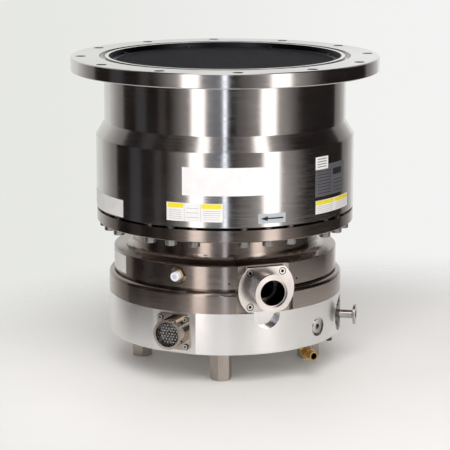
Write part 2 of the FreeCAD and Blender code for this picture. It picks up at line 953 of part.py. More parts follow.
def make_shaft():
    sleeve_radius = shaft_radius - sleeve_thickness
    return turned([
        (0, shaft_base),
        (shaft_tail_radius, shaft_base),
        (shaft_tail_radius, thrust_disc_top),
        (shaft_radius, thrust_disc_top),
        (shaft_radius, motor_base),
        (sleeve_radius, motor_base),
        (sleeve_radius, motor_base + motor_length),
        (shaft_radius, motor_base + motor_length),
        (shaft_radius, shaft_flange_base),
        (shaft_flange_radius, shaft_flange_base),
        (shaft_flange_radius, plate_base),
        (spigot_radius, plate_base),
        (spigot_radius, plate_top),
        (0, plate_top),
    ]).cut(around(cylinder(m6_screw[0] + screw_fit, plate_base - shaft_flange_thickness / 2,
                           plate_base, y=-rotor_bolt_circle), rotor_bolt_count))


def make_motor_rotor():
    inner = shaft_radius - sleeve_thickness
    return ring(shaft_radius, inner, motor_base, motor_base + motor_length)


def make_thrust_disc():
    return ring(thrust_disc_radius, shaft_tail_radius, thrust_disc_base, thrust_disc_top)


def make_shaft_nut():
    return hexagon(2 * nut_radius * math.cos(math.radians(30)), thrust_disc_base - nut_thickness,
                   thrust_disc_base).cut(cylinder(shaft_tail_radius, shaft_base, thrust_disc_base))


# Silver base housing, its cover and the legs

def make_base_housing():
    edge = housing_edge
    body = turned([
        (housing_bore, housing_base),
        (housing_radius - edge, housing_base),
        (housing_radius, housing_base + edge),
        (housing_radius, housing_top),
        (housing_room_radius, housing_top),
        (housing_room_radius, housing_base + housing_sill),
        (housing_bore, housing_base + housing_sill),
    ])
    reach = housing_radius + tool_overrun
    half_height = housing_height
    tools = [port(box(connector_flange_side, half_height, connector_flat_depth, reach),
                  connector_azimuth, connector_height)]
    pocket = cylinder(purge_pocket_radius, purge_pocket_depth, reach)
    purge_duct = cylinder(purge_duct_radius, housing_room_radius - tool_overrun, purge_pocket_depth)
    tools += [port(tool, purge_azimuth, purge_height) for tool in (pocket, purge_duct)]
    for side in (-1, 1):
        hole = moved(screw_hole(m5_screw, screw_bite, purge_pocket_depth), y=side * purge_screw_offset)
        tools.append(port(hole, purge_azimuth, purge_height))
    back = cylinder(connector_bore + connector_hole_fit,
                    housing_room_radius - tool_overrun, connector_flat_depth)
    tools.append(port(back, connector_azimuth, connector_height))
    for x, y in square_points(connector_screw_spacing):
        hole = moved(screw_hole(m4_screw, screw_bite, connector_flat_depth), x, y)
        tools.append(port(hole, connector_azimuth, connector_height))
    notch = cylinder(notch_radius, housing_radius - notch_depth, reach)
    notch = notch.fuse(box(notch_radius, notch_radius / 2, housing_radius - notch_depth, reach,
                           notch_radius / 2))
    tools.append(port(notch, notch_azimuth, housing_top - notch_drop))
    face = cylinder(plug_face_radius, plug_face_depth, reach)
    socket = cylinder(plug_radius, plug_face_depth - plug_length, plug_face_depth)
    tools += [port(tool, plug_azimuth, plug_height) for tool in (face, socket)]
    screw_seat = cylinder(m4_screw[0] + screw_fit, housing_base, housing_base + screw_bite,
                          y=-cover_screw_circle)
    tools += around(screw_seat, cover_screw_count, 180.0 / cover_screw_count)
    return body.cut(tools)


def make_base_cover():
    low = housing_base - cover_thickness
    plate = turned([
        (0, low), (cover_radius - housing_edge, low), (cover_radius, low + housing_edge),
        (cover_radius, housing_base), (0, housing_base),
    ])
    hole = cylinder(m4_screw[0] + screw_fit, low, housing_base, y=-cover_screw_circle)
    return plate.cut(around(hole, cover_screw_count, 180.0 / cover_screw_count))


def make_cover_screws():
    one = screw(m4_screw, cover_thickness + screw_bite, 0.0)
    one.rotate(ORIGIN, ACROSS, 180)
    one = moved(one, y=-cover_screw_circle, z=housing_base - cover_thickness)
    return Part.makeCompound(around(one, cover_screw_count, 180.0 / cover_screw_count))


def make_legs():
    legs = []
    reach = leg_flats / math.sqrt(3)
    for index in range(leg_count):
        bar = hexagon(leg_flats, 0, leg_length, leg_turns[index % len(leg_turns)])
        cone = turned([
            (0, 0), (leg_flats / 2, 0), (reach + leg_edge, reach + leg_edge - leg_flats / 2),
            (reach + leg_edge, leg_length), (0, leg_length),
        ])
        bar = bar.common(cone).cut(cylinder(leg_hole_radius, 0, leg_hole_depth))
        legs.append(turned_to(moved(bar, y=-leg_circle), 360.0 * index / leg_count))
    return Part.makeCompound(legs)


# Ports for gas

def clamp_flange(tube_radius, bore, flange, rim, reach, seat_radius, seat_depth, foot):
    """Tube with a small clamp flange on its end, its back tapered for the clamp."""
    taper = (flange - tube_radius) * math.tan(math.radians(taper_angle))
    return turned([
        (bore, foot), (tube_radius, foot), (tube_radius, reach - rim - taper),
        (flange, reach - rim), (flange, reach), (seat_radius, reach),
        (seat_radius, reach - seat_depth), (bore, reach - seat_depth),
    ])


def seal_groove(inner, low):
    """Ring-shaped space for a port's O-ring, in the back of its plate."""
    return ring(inner + port_seal_wall, inner, low, low + port_seal_height)


def make_exhaust_port():
    foot = exhaust_pocket_depth
    front = foot + exhaust_plate_thickness
    plate = cylinder(exhaust_plate_radius, foot, front)
    plate = plate.common(box(exhaust_plate_radius, exhaust_plate_half_height, foot, front))
    plate = plate.cut(cylinder(exhaust_bore, foot, front))
    solid = plate.fuse(clamp_flange(exhaust_tube_radius, exhaust_bore, exhaust_flange, exhaust_rim,
                                    exhaust_reach, exhaust_seat_radius, exhaust_seat_depth, foot))
    tools = [seal_groove(exhaust_bore + port_seal_gap, foot)]
    for x, y in square_points(exhaust_screw_spacing):
        tools.append(moved(screw_hole(m5_screw, exhaust_plate_thickness, front), x, y))
        tools.append(cylinder(exhaust_sink_radius, front - exhaust_screw_sink, front, x, y))
    return port(solid.cut(tools), exhaust_azimuth, exhaust_height)


def make_purge_port():
    foot = purge_pocket_depth
    front = foot + purge_plate_thickness
    plate = cylinder(purge_plate_radius, foot, front).cut(cylinder(purge_bore, foot, front))
    solid = plate.fuse(clamp_flange(purge_tube_radius, purge_bore, purge_flange, purge_rim,
                                    purge_reach, purge_seat_radius, purge_seat_depth, foot))
    tools = [seal_groove(purge_bore + port_seal_gap, foot)]
    for side in (-1, 1):
        hole = screw_hole(m5_screw, purge_plate_thickness, front)
        tools.append(moved(hole, y=side * purge_screw_offset))
    return port(solid.cut(tools), purge_azimuth, purge_height)


def make_port_seals():
    exhaust = seal_groove(exhaust_bore + port_seal_gap, exhaust_pocket_depth)
    purge = seal_groove(purge_bore + port_seal_gap, purge_pocket_depth)
    return Part.makeCompound([port(exhaust, exhaust_azimuth, exhaust_height),
                              port(purge, purge_azimuth, purge_height)])


def make_port_screws():
    """The screws of the exhaust plate and of the purge plate."""
    screws = []
    grip = exhaust_plate_thickness - exhaust_screw_sink
    for x, y in square_points(exhaust_screw_spacing):
        one = screw(m5_screw, grip + screw_bite, exhaust_pocket_depth + grip)
        screws.append(port(moved(one, x, y), exhaust_azimuth, exhaust_height))
    front = purge_pocket_depth + purge_plate_thickness
    for side in (-1, 1):
        one = screw(m5_screw, purge_plate_thickness + screw_bite, front)
        screws.append(port(moved(one, y=side * purge_screw_offset), purge_azimuth, purge_height))
    return Part.makeCompound(screws)


# Electrical connector

def make_connector_shell():
    foot = connector_flat_depth
    front = foot + connector_flange_thickness
    half = connector_flange_side / 2
    corner = connector_flange_corner
    flange = box(half, half - corner, foot, front).fuse(box(half - corner, half, foot, front))
    for x, y in square_points(connector_flange_side - 2 * corner):
        flange = flange.fuse(cylinder(corner, foot, front, x, y))
    barrel = cylinder(connector_barrel_radius, front, connector_reach)
    solid = flange.fuse(barrel).removeSplitter()
    tools = [cylinder(connector_bore, foot, connector_reach)]
    for x, y in square_points(connector_screw_spacing):
        tools.append(moved(screw_hole(m4_screw, connector_flange_thickness, front), x, y))
    return port(solid.cut(tools), connector_azimuth, connector_height)


def make_connector_insert():
    """Moulded insert; it runs back through the housing wall to its wires."""
    face = connector_reach - insert_recess
    solid = cylinder(connector_bore - screw_fit, face - insert_length, face)
    return port(solid, connector_azimuth, connector_height)


def make_connector_pins():
    """Contact pins in a hexagonal pattern, standing on the insert's face."""
    face = connector_reach - insert_recess
    pins = []
    for column in range(-pin_rings, pin_rings + 1):
        for row in range(-pin_rings, pin_rings + 1):
            if abs(column + row) <= pin_rings:
                x = pin_spacing * (column + row / 2)
                y = pin_spacing * row * math.sqrt(0.75)
                pins.append(moved(hexagon(2 * pin_radius, face, face + pin_length), x, y))
    return port(Part.makeCompound(pins), connector_azimuth, connector_height)


def make_connector_screws():
    front = connector_flat_depth + connector_flange_thickness
    screws = []
    for x, y in square_points(connector_screw_spacing):
        one = screw(m4_screw, connector_flange_thickness + screw_bite, front)
        screws.append(moved(one, x, y))
    return port(Part.makeCompound(screws), connector_azimuth, connector_height)


# Plug, vent fitting and water fittings

def make_access_plug():
    foot = plug_face_depth - plug_length
    top = plug_face_depth + plug_stand
    edge = housing_edge
    solid = turned([(0, foot), (plug_radius, foot), (plug_radius, top - edge),
                    (plug_radius - edge, top), (0, top)])
    solid = solid.cut(hexagon(plug_socket, top - plug_length / 2, top))
    return port(solid, plug_azimuth, plug_height)


def make_vent_fitting():
    foot = vent_face_depth
    hex_top = foot + vent_hex_length
    stub = cylinder(vent_stub_radius, foot - vent_stub_length, foot)
    nipple = cylinder(vent_nipple_radius, hex_top, hex_top + vent_cap_length - vent_cap_end)
    solid = hexagon(vent_flats, foot, hex_top).fuse([stub, nipple])
    return port(solid, vent_azimuth, upper_ring_base + vent_rise)


def make_vent_cap():
    low = vent_face_depth + vent_hex_length
    top = low + vent_cap_length
    bore = vent_nipple_radius + screw_fit
    solid = turned([
        (bore, low), (vent_cap_radius, low), (vent_cap_radius, top - housing_edge),
        (vent_cap_radius - housing_edge, top), (0, top), (0, top - vent_cap_end),
        (bore, top - vent_cap_end),
    ])
    return port(solid, vent_azimuth, upper_ring_base + vent_rise)


def make_water_inlet():
    """Brass elbow that hangs from the housing's underside; its nose has a direction of its own."""
    height = inlet_water_height
    length = inlet_water_length
    hex_end = length - water_nose_length
    hex_start = hex_end - water_hex_length
    rod = cylinder(water_tail_radius, 0, hex_start)
    rod = rod.fuse([hexagon(water_flats, hex_start, hex_end),
                    cylinder(water_nose_radius, hex_end, length)])
    rod = port(rod, 0.0, height)
    knee = Part.makeSphere(water_tail_radius, Vector(0, 0, height))
    riser = cylinder(water_tail_radius, height, housing_base)
    mouth = cylinder(water_bore, length - water_bore_depth, length)
    solid = rod.fuse([knee, riser]).cut(port(mouth, 0.0, height))
    nose_turn = inlet_water_turn - inlet_water_azimuth
    solid = moved(turned_to(solid, nose_turn), y=-inlet_water_circle)
    return turned_to(solid, inlet_water_azimuth)


def make_water_outlet():
    """Short nipple that hangs from the housing's underside."""
    nipple = ring(outlet_nipple_radius, outlet_nipple_bore,
                  housing_base - outlet_nipple_length, housing_base)
    return turned_to(moved(nipple, y=-outlet_water_circle), outlet_water_azimuth)


def make_outlet_cap():
    """Cap pushed over the nipple from below."""
    top = housing_base - outlet_cap_gap
    roof = housing_base - outlet_nipple_length
    low = roof - outlet_cap_end
    bore = outlet_nipple_radius + screw_fit
    solid = turned([
        (0, low), (outlet_cap_radius - housing_edge, low), (outlet_cap_radius, low + housing_edge),
        (outlet_cap_radius, top), (bore, top), (bore, roof), (0, roof),
    ])
    return turned_to(moved(solid, y=-outlet_water_circle), outlet_water_azimuth)


def make_all():
    """Every sub-part by its name."""
    upper_seat = outer_race_radius()
    parts = {
        "casing": make_casing(),
        "inlet_screen": make_inlet_screen(),
        "screen_screws": make_screen_screws(),
        "threaded_stator": make_threaded_stator(),
        "rotor": make_rotor(),
        "rotor_bolts": make_rotor_bolts(),
        "base_body": make_base_body(),
        "casing_seal": make_casing_seal(),
        "casing_bolts": make_casing_bolts(),
        "bolt_spacers": make_bolt_spacers(),
        "bearing_column": make_bearing_column(),
        "column_screws": make_column_screws(),
        "column_cap": make_column_cap(),
        "lower_radial_magnet": make_radial_magnet(lower_magnet_base),
        "upper_radial_magnet": make_radial_magnet(upper_magnet_base),
        "bearing_coils": make_bearing_coils(),
        "motor_stator": make_motor_stator(),
        "motor_winding": make_motor_winding(),
        "upper_axial_magnet": make_axial_magnet(upper_thrust_base, -1),
        "lower_axial_magnet": make_axial_magnet(lower_thrust_base, 1),
        "position_sensors": make_position_sensors(),
        "lower_outer_race": make_outer_race(lower_race_base, insert_radius),
        "upper_outer_race": make_outer_race(upper_race_low, upper_seat - insert_fit),
        "lower_inner_race": make_inner_race(lower_race_base),
        "upper_inner_race": make_inner_race(upper_race_low),
        "lower_balls": make_balls(lower_race_base),
        "upper_balls": make_balls(upper_race_low),
        "shaft": make_shaft(),
        "motor_rotor": make_motor_rotor(),
        "thrust_disc": make_thrust_disc(),
        "shaft_nut": make_shaft_nut(),
        "base_housing": make_base_housing(),
        "base_cover": make_base_cover(),
        "cover_screws": make_cover_screws(),
        "legs": make_legs(),
        "exhaust_port": make_exhaust_port(),
        "purge_port": make_purge_port(),
        "port_seals": make_port_seals(),
        "port_screws": make_port_screws(),
        "connector_shell": make_connector_shell(),
        "connector_insert": make_connector_insert(),
        "connector_pins": make_connector_pins(),
        "connector_screws": make_connector_screws(),
        "access_plug": make_access_plug(),
        "vent_fitting": make_vent_fitting(),
        "vent_cap": make_vent_cap(),
        "water_inlet": make_water_inlet(),
        "water_outlet": make_water_outlet(),
        "outlet_cap": make_outlet_cap(),
    }
    for index in range(row_count - 1):
        parts["stator_disc_%d" % (index + 1)] = make_stator_disc(index)
    for index in range(row_count):
        parts["stator_spacer_%d" % (index + 1)] = make_stator_spacer(index)
    return parts


os.makedirs("parts", exist_ok=True)
for name, shape in make_all().items():
    shape.exportStep("parts/" + name + ".step")
    print(name, len(shape.Solids), "solids", round(shape.Volume / 1000.0, 1), "cm3",
          "valid" if shape.isValid() else "INVALID")
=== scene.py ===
# %% [markdown]
# # A turbomolecular pump
#
# A turbomolecular pump is a turbine for single molecules: a bladed rotor spins in magnetic bearings
# under the big flange at the top and drives gas down to the small exhaust port at the side. The solid
# pieces come as a fixed frame, in metres, standing on the floor with their front towards -Y. Here they
# get their finishes, and the small trim that is quicker to shape in Blender than in a CAD program.

import json
import math

import bpy
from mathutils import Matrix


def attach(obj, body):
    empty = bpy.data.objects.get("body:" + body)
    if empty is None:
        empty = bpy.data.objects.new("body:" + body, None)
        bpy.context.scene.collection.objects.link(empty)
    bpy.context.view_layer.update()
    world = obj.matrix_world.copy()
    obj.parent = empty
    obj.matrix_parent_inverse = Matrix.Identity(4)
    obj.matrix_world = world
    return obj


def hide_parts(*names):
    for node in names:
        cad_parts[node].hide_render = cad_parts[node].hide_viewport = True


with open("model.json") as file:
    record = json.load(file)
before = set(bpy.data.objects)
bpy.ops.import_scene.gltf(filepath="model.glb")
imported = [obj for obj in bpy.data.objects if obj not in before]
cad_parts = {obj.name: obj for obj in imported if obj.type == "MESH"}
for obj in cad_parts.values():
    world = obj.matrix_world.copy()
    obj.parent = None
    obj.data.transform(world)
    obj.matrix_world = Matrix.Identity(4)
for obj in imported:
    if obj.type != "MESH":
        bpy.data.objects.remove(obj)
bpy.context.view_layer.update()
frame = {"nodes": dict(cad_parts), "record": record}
nodes = frame["nodes"]

# %% [markdown]
# ## The camera
#
# The photograph looks slightly down on the pump from almost straight ahead, with a long lens, so the
# flange shows as a thin ellipse. The camera swings a little to the right and tilts down. The picture is
# square, and its focal length in pixels turns into a lens on a 36 mm sensor.

# %% Place the camera
camera_distance = 2.7018
camera_height = 0.7685
camera_swing = math.radians(2.7)
camera_tilt = math.radians(11.88)
picture_pixels = 450
focal_pixels = 1857.1
sensor_width = 36.0

camera = bpy.data.objects.new("Camera", bpy.data.cameras.new("Camera"))
camera.data.sensor_width = sensor_width
camera.data.lens = focal_pixels / picture_pixels * sensor_width
camera.location = (
    camera_distance * math.sin(camera_swing),
    -camera_distance * math.cos(camera_swing),
    camera_height,
)
camera.rotation_euler = (math.radians(90.0) - camera_tilt, 0.0, camera_swing)
bpy.context.scene.collection.objects.link(camera)
bpy.context.scene.camera = camera
bpy.context.scene.view_settings.view_transform = "Standard"
print("lens:", round(camera.data.lens, 2), "mm")

# %% [markdown]
# ## Small helpers for node trees
#
# Every finish below is a node tree. Adding a node, setting its values and linking its inputs takes many
# lines by hand, so one helper does all three. The others add the commonest kinds: sums with numbers and
# with vectors, a soft step from one value to another, noise, and a mix of two colours.

# %% Helpers that add nodes
def add_node(tree, kind, inputs=None, **settings):
    node = tree.nodes.new(kind)
    for name, value in settings.items():
        setattr(node, name, value)
    for socket, value in (inputs or {}).items():
        if isinstance(value, bpy.types.NodeSocket):
            tree.links.new(value, node.inputs[socket])
        else:
            node.inputs[socket].default_value = value
    return node


def work_out(tree, operation, *inputs):
    """A number out of numbers, such as their sum, or one and nought for yes and no."""
    return add_node(tree, "ShaderNodeMath", dict(enumerate(inputs)), operation=operation).outputs[0]


def vector_of(tree, operation, *inputs):
    """A vector out of vectors, such as their sum or their cross product."""
    return add_node(tree, "ShaderNodeVectorMath", dict(enumerate(inputs)), operation=operation).outputs[0]


def number_of(tree, operation, *inputs):
    """One number out of vectors, such as a length, a distance or a dot product."""
    node = add_node(tree, "ShaderNodeVectorMath", dict(enumerate(inputs)), operation=operation)
    return node.outputs["Value"]


def scaled(tree, vector, amount):
    return add_node(tree, "ShaderNodeVectorMath", {0: vector, "Scale": amount}, operation="SCALE").outputs[0]


def ease(tree, value, start, end, low=0.0, high=1.0):
    """Go smoothly from low to high while value goes from start to end."""
    inputs = {"Value": value, "From Min": start, "From Max": end, "To Min": low, "To Max": high}
    return add_node(tree, "ShaderNodeMapRange", inputs, interpolation_type="SMOOTHSTEP").outputs["Result"]


def noise(tree, spot, scale, detail=3.0):
    """Soft random blotches: a higher scale makes them smaller, and more detail makes them rougher."""
    return add_node(tree, "ShaderNodeTexNoise", {"Vector": spot, "Scale": scale, "Detail": detail}).outputs[0]


def blend(tree, amount, first, second):
    """Go from the first colour to the second with amount. The first may be what another node gives."""
    # The sockets of a Mix node share their names, so its two colours are picked by number, as 6 and 7
    if isinstance(first, tuple):
        first = first + (1.0,)
    inputs = {0: amount, 6: first, 7: second + (1.0,)}
    return add_node(tree, "ShaderNodeMix", inputs, data_type="RGBA").outputs[2]


def object_spot(tree):
    """The place of the point that is being shaded, which is the same in the object and in the frame."""
    return add_node(tree, "ShaderNodeTexCoord").outputs["Object"]


# %% [markdown]
# ## The studio
#
# Polished metal has hardly any look of its own: it shows the room. The photograph's room can be read
# off the round casing like a mirror. Tall soft boxes stand front left and front right, a narrow one
# almost beside the camera, a pale backdrop hangs behind, and the rest is dark. The world paints that
# room by direction. A soft light overhead keeps the floor pale, and what the camera sees past the floor
# is the backdrop's own pale grey.

# %% Paint the studio into the world
room_glow = (0.020, 0.016, 0.015)
overhead_light = (1.3, 1.28, 1.26)
overhead_start, overhead_full = math.radians(66.0), math.radians(82.0)
fill_tint = (1.0, 0.98, 0.96)
fill_strength = 0.24
warm = (1.0, 0.94, 0.91)
cool = (0.90, 0.96, 1.06)
box_top_start, box_top_end = math.radians(55.0), math.radians(75.0)
# Each soft box: the middle of it, half its width, its soft edge, all in degrees, its strength and tint
soft_boxes = (
    (-25.0, 4.0, 5.0, 2.2, warm),
    (-31.0, 1.0, 24.0, 0.35, warm),
    (-10.0, 5.0, 5.0, 0.22, cool),
    (0.0, 0.8, 1.6, 2.6, cool),
    (41.5, 4.5, 6.0, 2.2, warm),
    (46.0, 2.0, 32.0, 0.42, warm),
    (22.0, 8.0, 7.0, 0.12, warm),
    (-61.0, 2.0, 4.0, 0.05, warm),
    (-86.0, 4.0, 5.0, 0.05, cool),
)
backdrop_light = (0.68, 0.67, 0.655)
backdrop_front = math.radians(8.0)
# Each step of the backdrop: where it starts and where it is full, in degrees off its front, and its share
backdrop_steps = ((118.5, 120.5, 0.35), (121.0, 150.0, 0.65))
backdrop_full = 0.99
left_grey = (0.80, 0.81, 0.78)
right_grey = (0.89, 0.89, 0.885)
left_side, right_side = -0.15, 0.05

world = bpy.data.worlds.new("Studio")
bpy.context.scene.world = world
world.use_nodes = True
room = world.node_tree
room.nodes.clear()
look = add_node(room, "ShaderNodeTexCoord").outputs["Generated"]
look_xyz = add_node(room, "ShaderNodeSeparateXYZ", {0: look})
behind_x = work_out(room, "MULTIPLY", look_xyz.outputs["Y"], -1.0)
turn = work_out(room, "ARCTAN2", look_xyz.outputs["X"], behind_x)
turn = work_out(room, "SUBTRACT", turn, camera_swing)
rise = work_out(room, "ARCSINE", look_xyz.outputs["Z"])

overhead = ease(room, rise, overhead_start, overhead_full)
glow = vector_of(room, "ADD", room_glow, scaled(room, overhead_light, overhead))
box_top = ease(room, rise, box_top_end, box_top_start)
for middle, half, edge, strength, tint in soft_boxes:
    away = work_out(room, "ABSOLUTE", work_out(room, "SUBTRACT", turn, math.radians(middle)))
    strip = ease(room, away, math.radians(half + edge), math.radians(half), 0.0, strength)
    glow = vector_of(room, "ADD", glow, scaled(room, tint, work_out(room, "MULTIPLY", strip, box_top)))
away = work_out(room, "ABSOLUTE", work_out(room, "SUBTRACT", turn, backdrop_front))
edge_step, middle_step = (
    ease(room, away, math.radians(start), math.radians(full), 0.0, share)
    for start, full, share in backdrop_steps
)
backdrop = work_out(room, "MULTIPLY", work_out(room, "ADD", edge_step, middle_step), box_top)
glow = vector_of(room, "ADD", glow, scaled(room, backdrop_light, backdrop))

rays = add_node(room, "ShaderNodeLightPath").outputs
matt = work_out(room, "MULTIPLY", rays["Is Diffuse Ray"], fill_strength)
glow = vector_of(room, "ADD", glow, scaled(room, fill_tint, matt))
seen = work_out(room, "ADD", rays["Is Camera Ray"], rays["Is Transmission Ray"])
behind = work_out(room, "GREATER_THAN", backdrop, backdrop_full)
mirrored = work_out(room, "MULTIPLY", rays["Is Glossy Ray"], behind)
seen = work_out(room, "MINIMUM", work_out(room, "ADD", seen, mirrored), 1.0)
pale_grey = blend(room, ease(room, look_xyz.outputs["X"], left_side, right_side), left_grey, right_grey)
light = add_node(room, "ShaderNodeBackground", {"Color": glow, "Strength": 1.0})
paper = add_node(room, "ShaderNodeBackground", {"Color": pale_grey, "Strength": 1.0})
either = add_node(room, "ShaderNodeMixShader", {0: seen, 1: light.outputs[0], 2: paper.outputs[0]})
add_node(room, "ShaderNodeOutputWorld", {"Surface": either.outputs[0]})
print("soft boxes:", len(soft_boxes))

# %% [markdown]
# The room alone would leave a hard dark shadow around the legs. A wide lamp in front and above fills it.
# Only matt things see this lamp: it isn't mirrored in the metal, so it adds no stripe to the casing.

# %% Hang a wide lamp in front
lamp_width = 1.8
lamp_power = 44.0
lamp_place = (0.15, -2.1, 2.25)

lamp = bpy.data.objects.new("front_lamp", bpy.data.lights.new("front_lamp", "AREA"))
lamp.data.shape = "DISK"
lamp.data.size = lamp_width
lamp.data.energy = lamp_power
lamp.location = lamp_place
lamp.rotation_euler = (-lamp.location).to_track_quat("-Z", "Y").to_euler()
lamp.visible_glossy = False
bpy.context.scene.collection.objects.link(lamp)
print("lamp:", lamp_width, "m wide")

# %% [markdown]
# The pump stands on a round of white paper. Its rim fades away, so no edge shows in front of the
# backdrop, and past it the low parts of the casing mirror the dark room, as they do in the photograph.

# %% Lay the floor
floor_radius = 1.4
paper_inner = 0.40
paper_outer = 0.80
paper_middle = (0.18, -0.06, 0.0)
paper_roughness = 0.6
# Painted light: the paper's colour is painted lighter towards the front than at the back
painted_light_back_tone = (0.79, 0.785, 0.77)
painted_light_front_tone = (0.90, 0.895, 0.88)
painted_light_start, painted_light_end = -0.20, 0.35
cloud_scale = 6.0
cloud_band = (0.3, 0.7)
cloud_depth = 0.08

bpy.ops.object.select_all(action="DESELECT")
bpy.ops.mesh.primitive_circle_add(vertices=96, radius=floor_radius, fill_type="NGON")
floor = bpy.context.object
floor.name = "floor"
paper_finish = bpy.data.materials.new("white_paper")
paper_finish.use_nodes = True
sheet = paper_finish.node_tree
paper_shader = sheet.nodes["Principled BSDF"]
paper_shader.inputs["Roughness"].default_value = paper_roughness
spot = object_spot(sheet)
fade = ease(sheet, number_of(sheet, "DISTANCE", spot, paper_middle), paper_outer, paper_inner)
clouds = ease(sheet, noise(sheet, spot, cloud_scale), *cloud_band, -cloud_depth, cloud_depth)
# Painted light: the colour goes from the darker back tone to the lighter front tone, with soft random clouds
# on top
painted_light_nearness = ease(sheet, number_of(sheet, "DOT_PRODUCT", spot, (0.0, -1.0, 0.0)), painted_light_start, painted_light_end)
clouds_and_painted_light = blend(sheet, work_out(sheet, "ADD", painted_light_nearness, clouds), painted_light_back_tone, painted_light_front_tone)
sheet.links.new(clouds_and_painted_light, paper_shader.inputs["Base Color"])
sheet.links.new(fade, paper_shader.inputs["Alpha"])
floor.data.materials.append(paper_finish)
print("floor:", floor_radius, "m round")

# %% [markdown]
# ## Turned steel
#
# The casing is a big stainless tube that was turned on a lathe. The tool leaves rings far finer than a
# hair all round it. They stretch every reflection up and down, across the rings, while from side to side
# it stays sharp. In the shader that is anisotropy, with its tangent running round the axis. Fine noise
# that only changes with radius and height adds the rings themselves.

# %% Helpers that start a finish
# Noise hardly ever reaches nought or one, so a band in its middle is stretched to the full range
coarse_band = (0.3, 0.7)
fine_band = (0.35, 0.65)
roughness_band = (0.25, 0.75)


def new_finish(name, metallic, **sockets):
    finish = bpy.data.materials.new(name)
    finish.use_nodes = True
    shader = finish.node_tree.nodes["Principled BSDF"]
    shader.inputs["Metallic"].default_value = metallic
    for socket, value in sockets.items():
        shader.inputs[socket.replace("_", " ")].default_value = value
    return finish, finish.node_tree, shader


def colour_by(tree, shader, amount, dark, light):
    """Let the base colour go from dark to light with amount."""
    tree.links.new(blend(tree, amount, dark, light), shader.inputs["Base Color"])


def roughness_by(tree, shader, amount, roughness, uneven):
    """Let the roughness swing to either side by the share called uneven, with amount."""
    low, high = roughness * (1 - uneven), roughness * (1 + uneven)
    tree.links.new(ease(tree, amount, *roughness_band, low, high), shader.inputs["Roughness"])


def lift_by(tree, shader, height, depth):
    """Raise the surface by up to depth, in metres, where height is one."""
    inputs = {"Height": height, "Distance": depth, "Strength": 1.0}
    bump = add_node(tree, "ShaderNodeBump", inputs)
    tree.links.new(bump.outputs["Normal"], shader.inputs["Normal"])


# %% [markdown]
# The turned finish needs to know how a lathe sees each point. Its rings are noise that is read by radius
# and height. A slight drift on the way round keeps a ring from being the same all along. Wide smears on
# top stand for the marks that hands and cloths leave.

# %% A finish turned on a lathe
quarter_turn = 0.25
sharp_detail = 4.0
ring_share = 0.7
ring_drift = 0.005
smear_scale = 14.0


def lathe_frame(tree, centre, axis):
    """Where a point is as a lathe sees it: how far from the axis, how far along it, and the way round."""
    arm = vector_of(tree, "SUBTRACT", object_spot(tree), centre)
    around = vector_of(tree, "CROSS_PRODUCT", axis, arm)
    radius = number_of(tree, "LENGTH", around)
    along = number_of(tree, "DOT_PRODUCT", arm, axis)
    return radius, along, vector_of(tree, "NORMALIZE", around)


def turned_metal(
    name, dark, light, roughness, stretch, fineness, depth, uneven=0.4, centre=(0, 0, 0), axis=(0, 0, 1),
):
    """Rings round an axis, depth metres high, that stretch every reflection across them."""
    finish, tree, shader = new_finish(name, 1.0, Anisotropic=stretch, Anisotropic_Rotation=quarter_turn)
    radius, along, way_round = lathe_frame(tree, centre, axis)
    level = add_node(tree, "ShaderNodeCombineXYZ", {0: radius, 2: along}).outputs[0]
    place = vector_of(tree, "ADD", level, scaled(tree, way_round, ring_drift))
    rings = noise(tree, place, fineness, sharp_detail)
    smears = noise(tree, object_spot(tree), smear_scale)
    colour_by(tree, shader, ease(tree, smears, *coarse_band), dark, light)
    rings_part = work_out(tree, "MULTIPLY", rings, ring_share)
    smears_part = work_out(tree, "MULTIPLY", smears, 1 - ring_share)
    roughness_by(tree, shader, work_out(tree, "ADD", rings_part, smears_part), roughness, uneven)
    lift_by(tree, shader, rings, depth)
    tree.links.new(way_round, shader.inputs["Tangent"])
    return finish


# %% [markdown]
# Small parts need no rings. Milled, sintered and cast metal has a grain that is the same every way, with
# wider patches that are a little lighter or darker. Plastic and rubber have a softer grain of their own.

# %% Finishes with an even grain
patch_scale = 30.0
grain_uneven = 0.2
moulded_uneven = 0.15


def grained_metal(name, dark, light, roughness, grain, depth):
    """Bare metal with a fine grain that is depth metres high."""
    finish, tree, shader = new_finish(name, 1.0)
    spot = object_spot(tree)
    fine = noise(tree, spot, grain, sharp_detail)
    patches = noise(tree, spot, patch_scale)
    colour_by(tree, shader, ease(tree, patches, *coarse_band), dark, light)
    both = work_out(tree, "MULTIPLY", work_out(tree, "ADD", fine, patches), 0.5)
    roughness_by(tree, shader, both, roughness, grain_uneven)
    lift_by(tree, shader, fine, depth)
    return finish


def moulded(name, dark, light, roughness, grain, depth):
    """Plastic or rubber whose grain shows in its colour too."""
    finish, tree, shader = new_finish(name, 0.0)
    fine = noise(tree, object_spot(tree), grain)
    colour_by(tree, shader, ease(tree, fine, *fine_band), dark, light)
    roughness_by(tree, shader, fine, roughness, moulded_uneven)
    lift_by(tree, shader, fine, depth)
    return finish


# %% [markdown]
# Some places on a piece look unlike the rest of it. Deep bores are painted dark as shade, because hardly any
# light finds its way in and out again. The gap round a sunk screw is painted as a thin ring of shade. A face
# that was milled is duller than the turned wall beside it. Each such place is found by measuring: how far a
# point is from the axis of a port or a screw, or which way its surface faces.

# %% Helpers that find places on a port
flat_enough = 0.9995


def port_axis(azimuth):
    """The direction straight out of the wall, azimuth degrees from the front towards the right."""
    heading = math.radians(azimuth)
    return (math.sin(heading), -math.cos(heading), 0.0)


def in_bore(tree, height, azimuth, bore):
    """One within bore of a port's axis."""
    return work_out(tree, "LESS_THAN", lathe_frame(tree, (0.0, 0.0, height), port_axis(azimuth))[0], bore)


def facing(tree, azimuth):
    """One where the surface is flat and looks straight out at that azimuth."""
    normal = add_node(tree, "ShaderNodeTexCoord").outputs["Normal"]
    match = number_of(tree, "DOT_PRODUCT", normal, port_axis(azimuth))
    return work_out(tree, "GREATER_THAN", match, flat_enough)


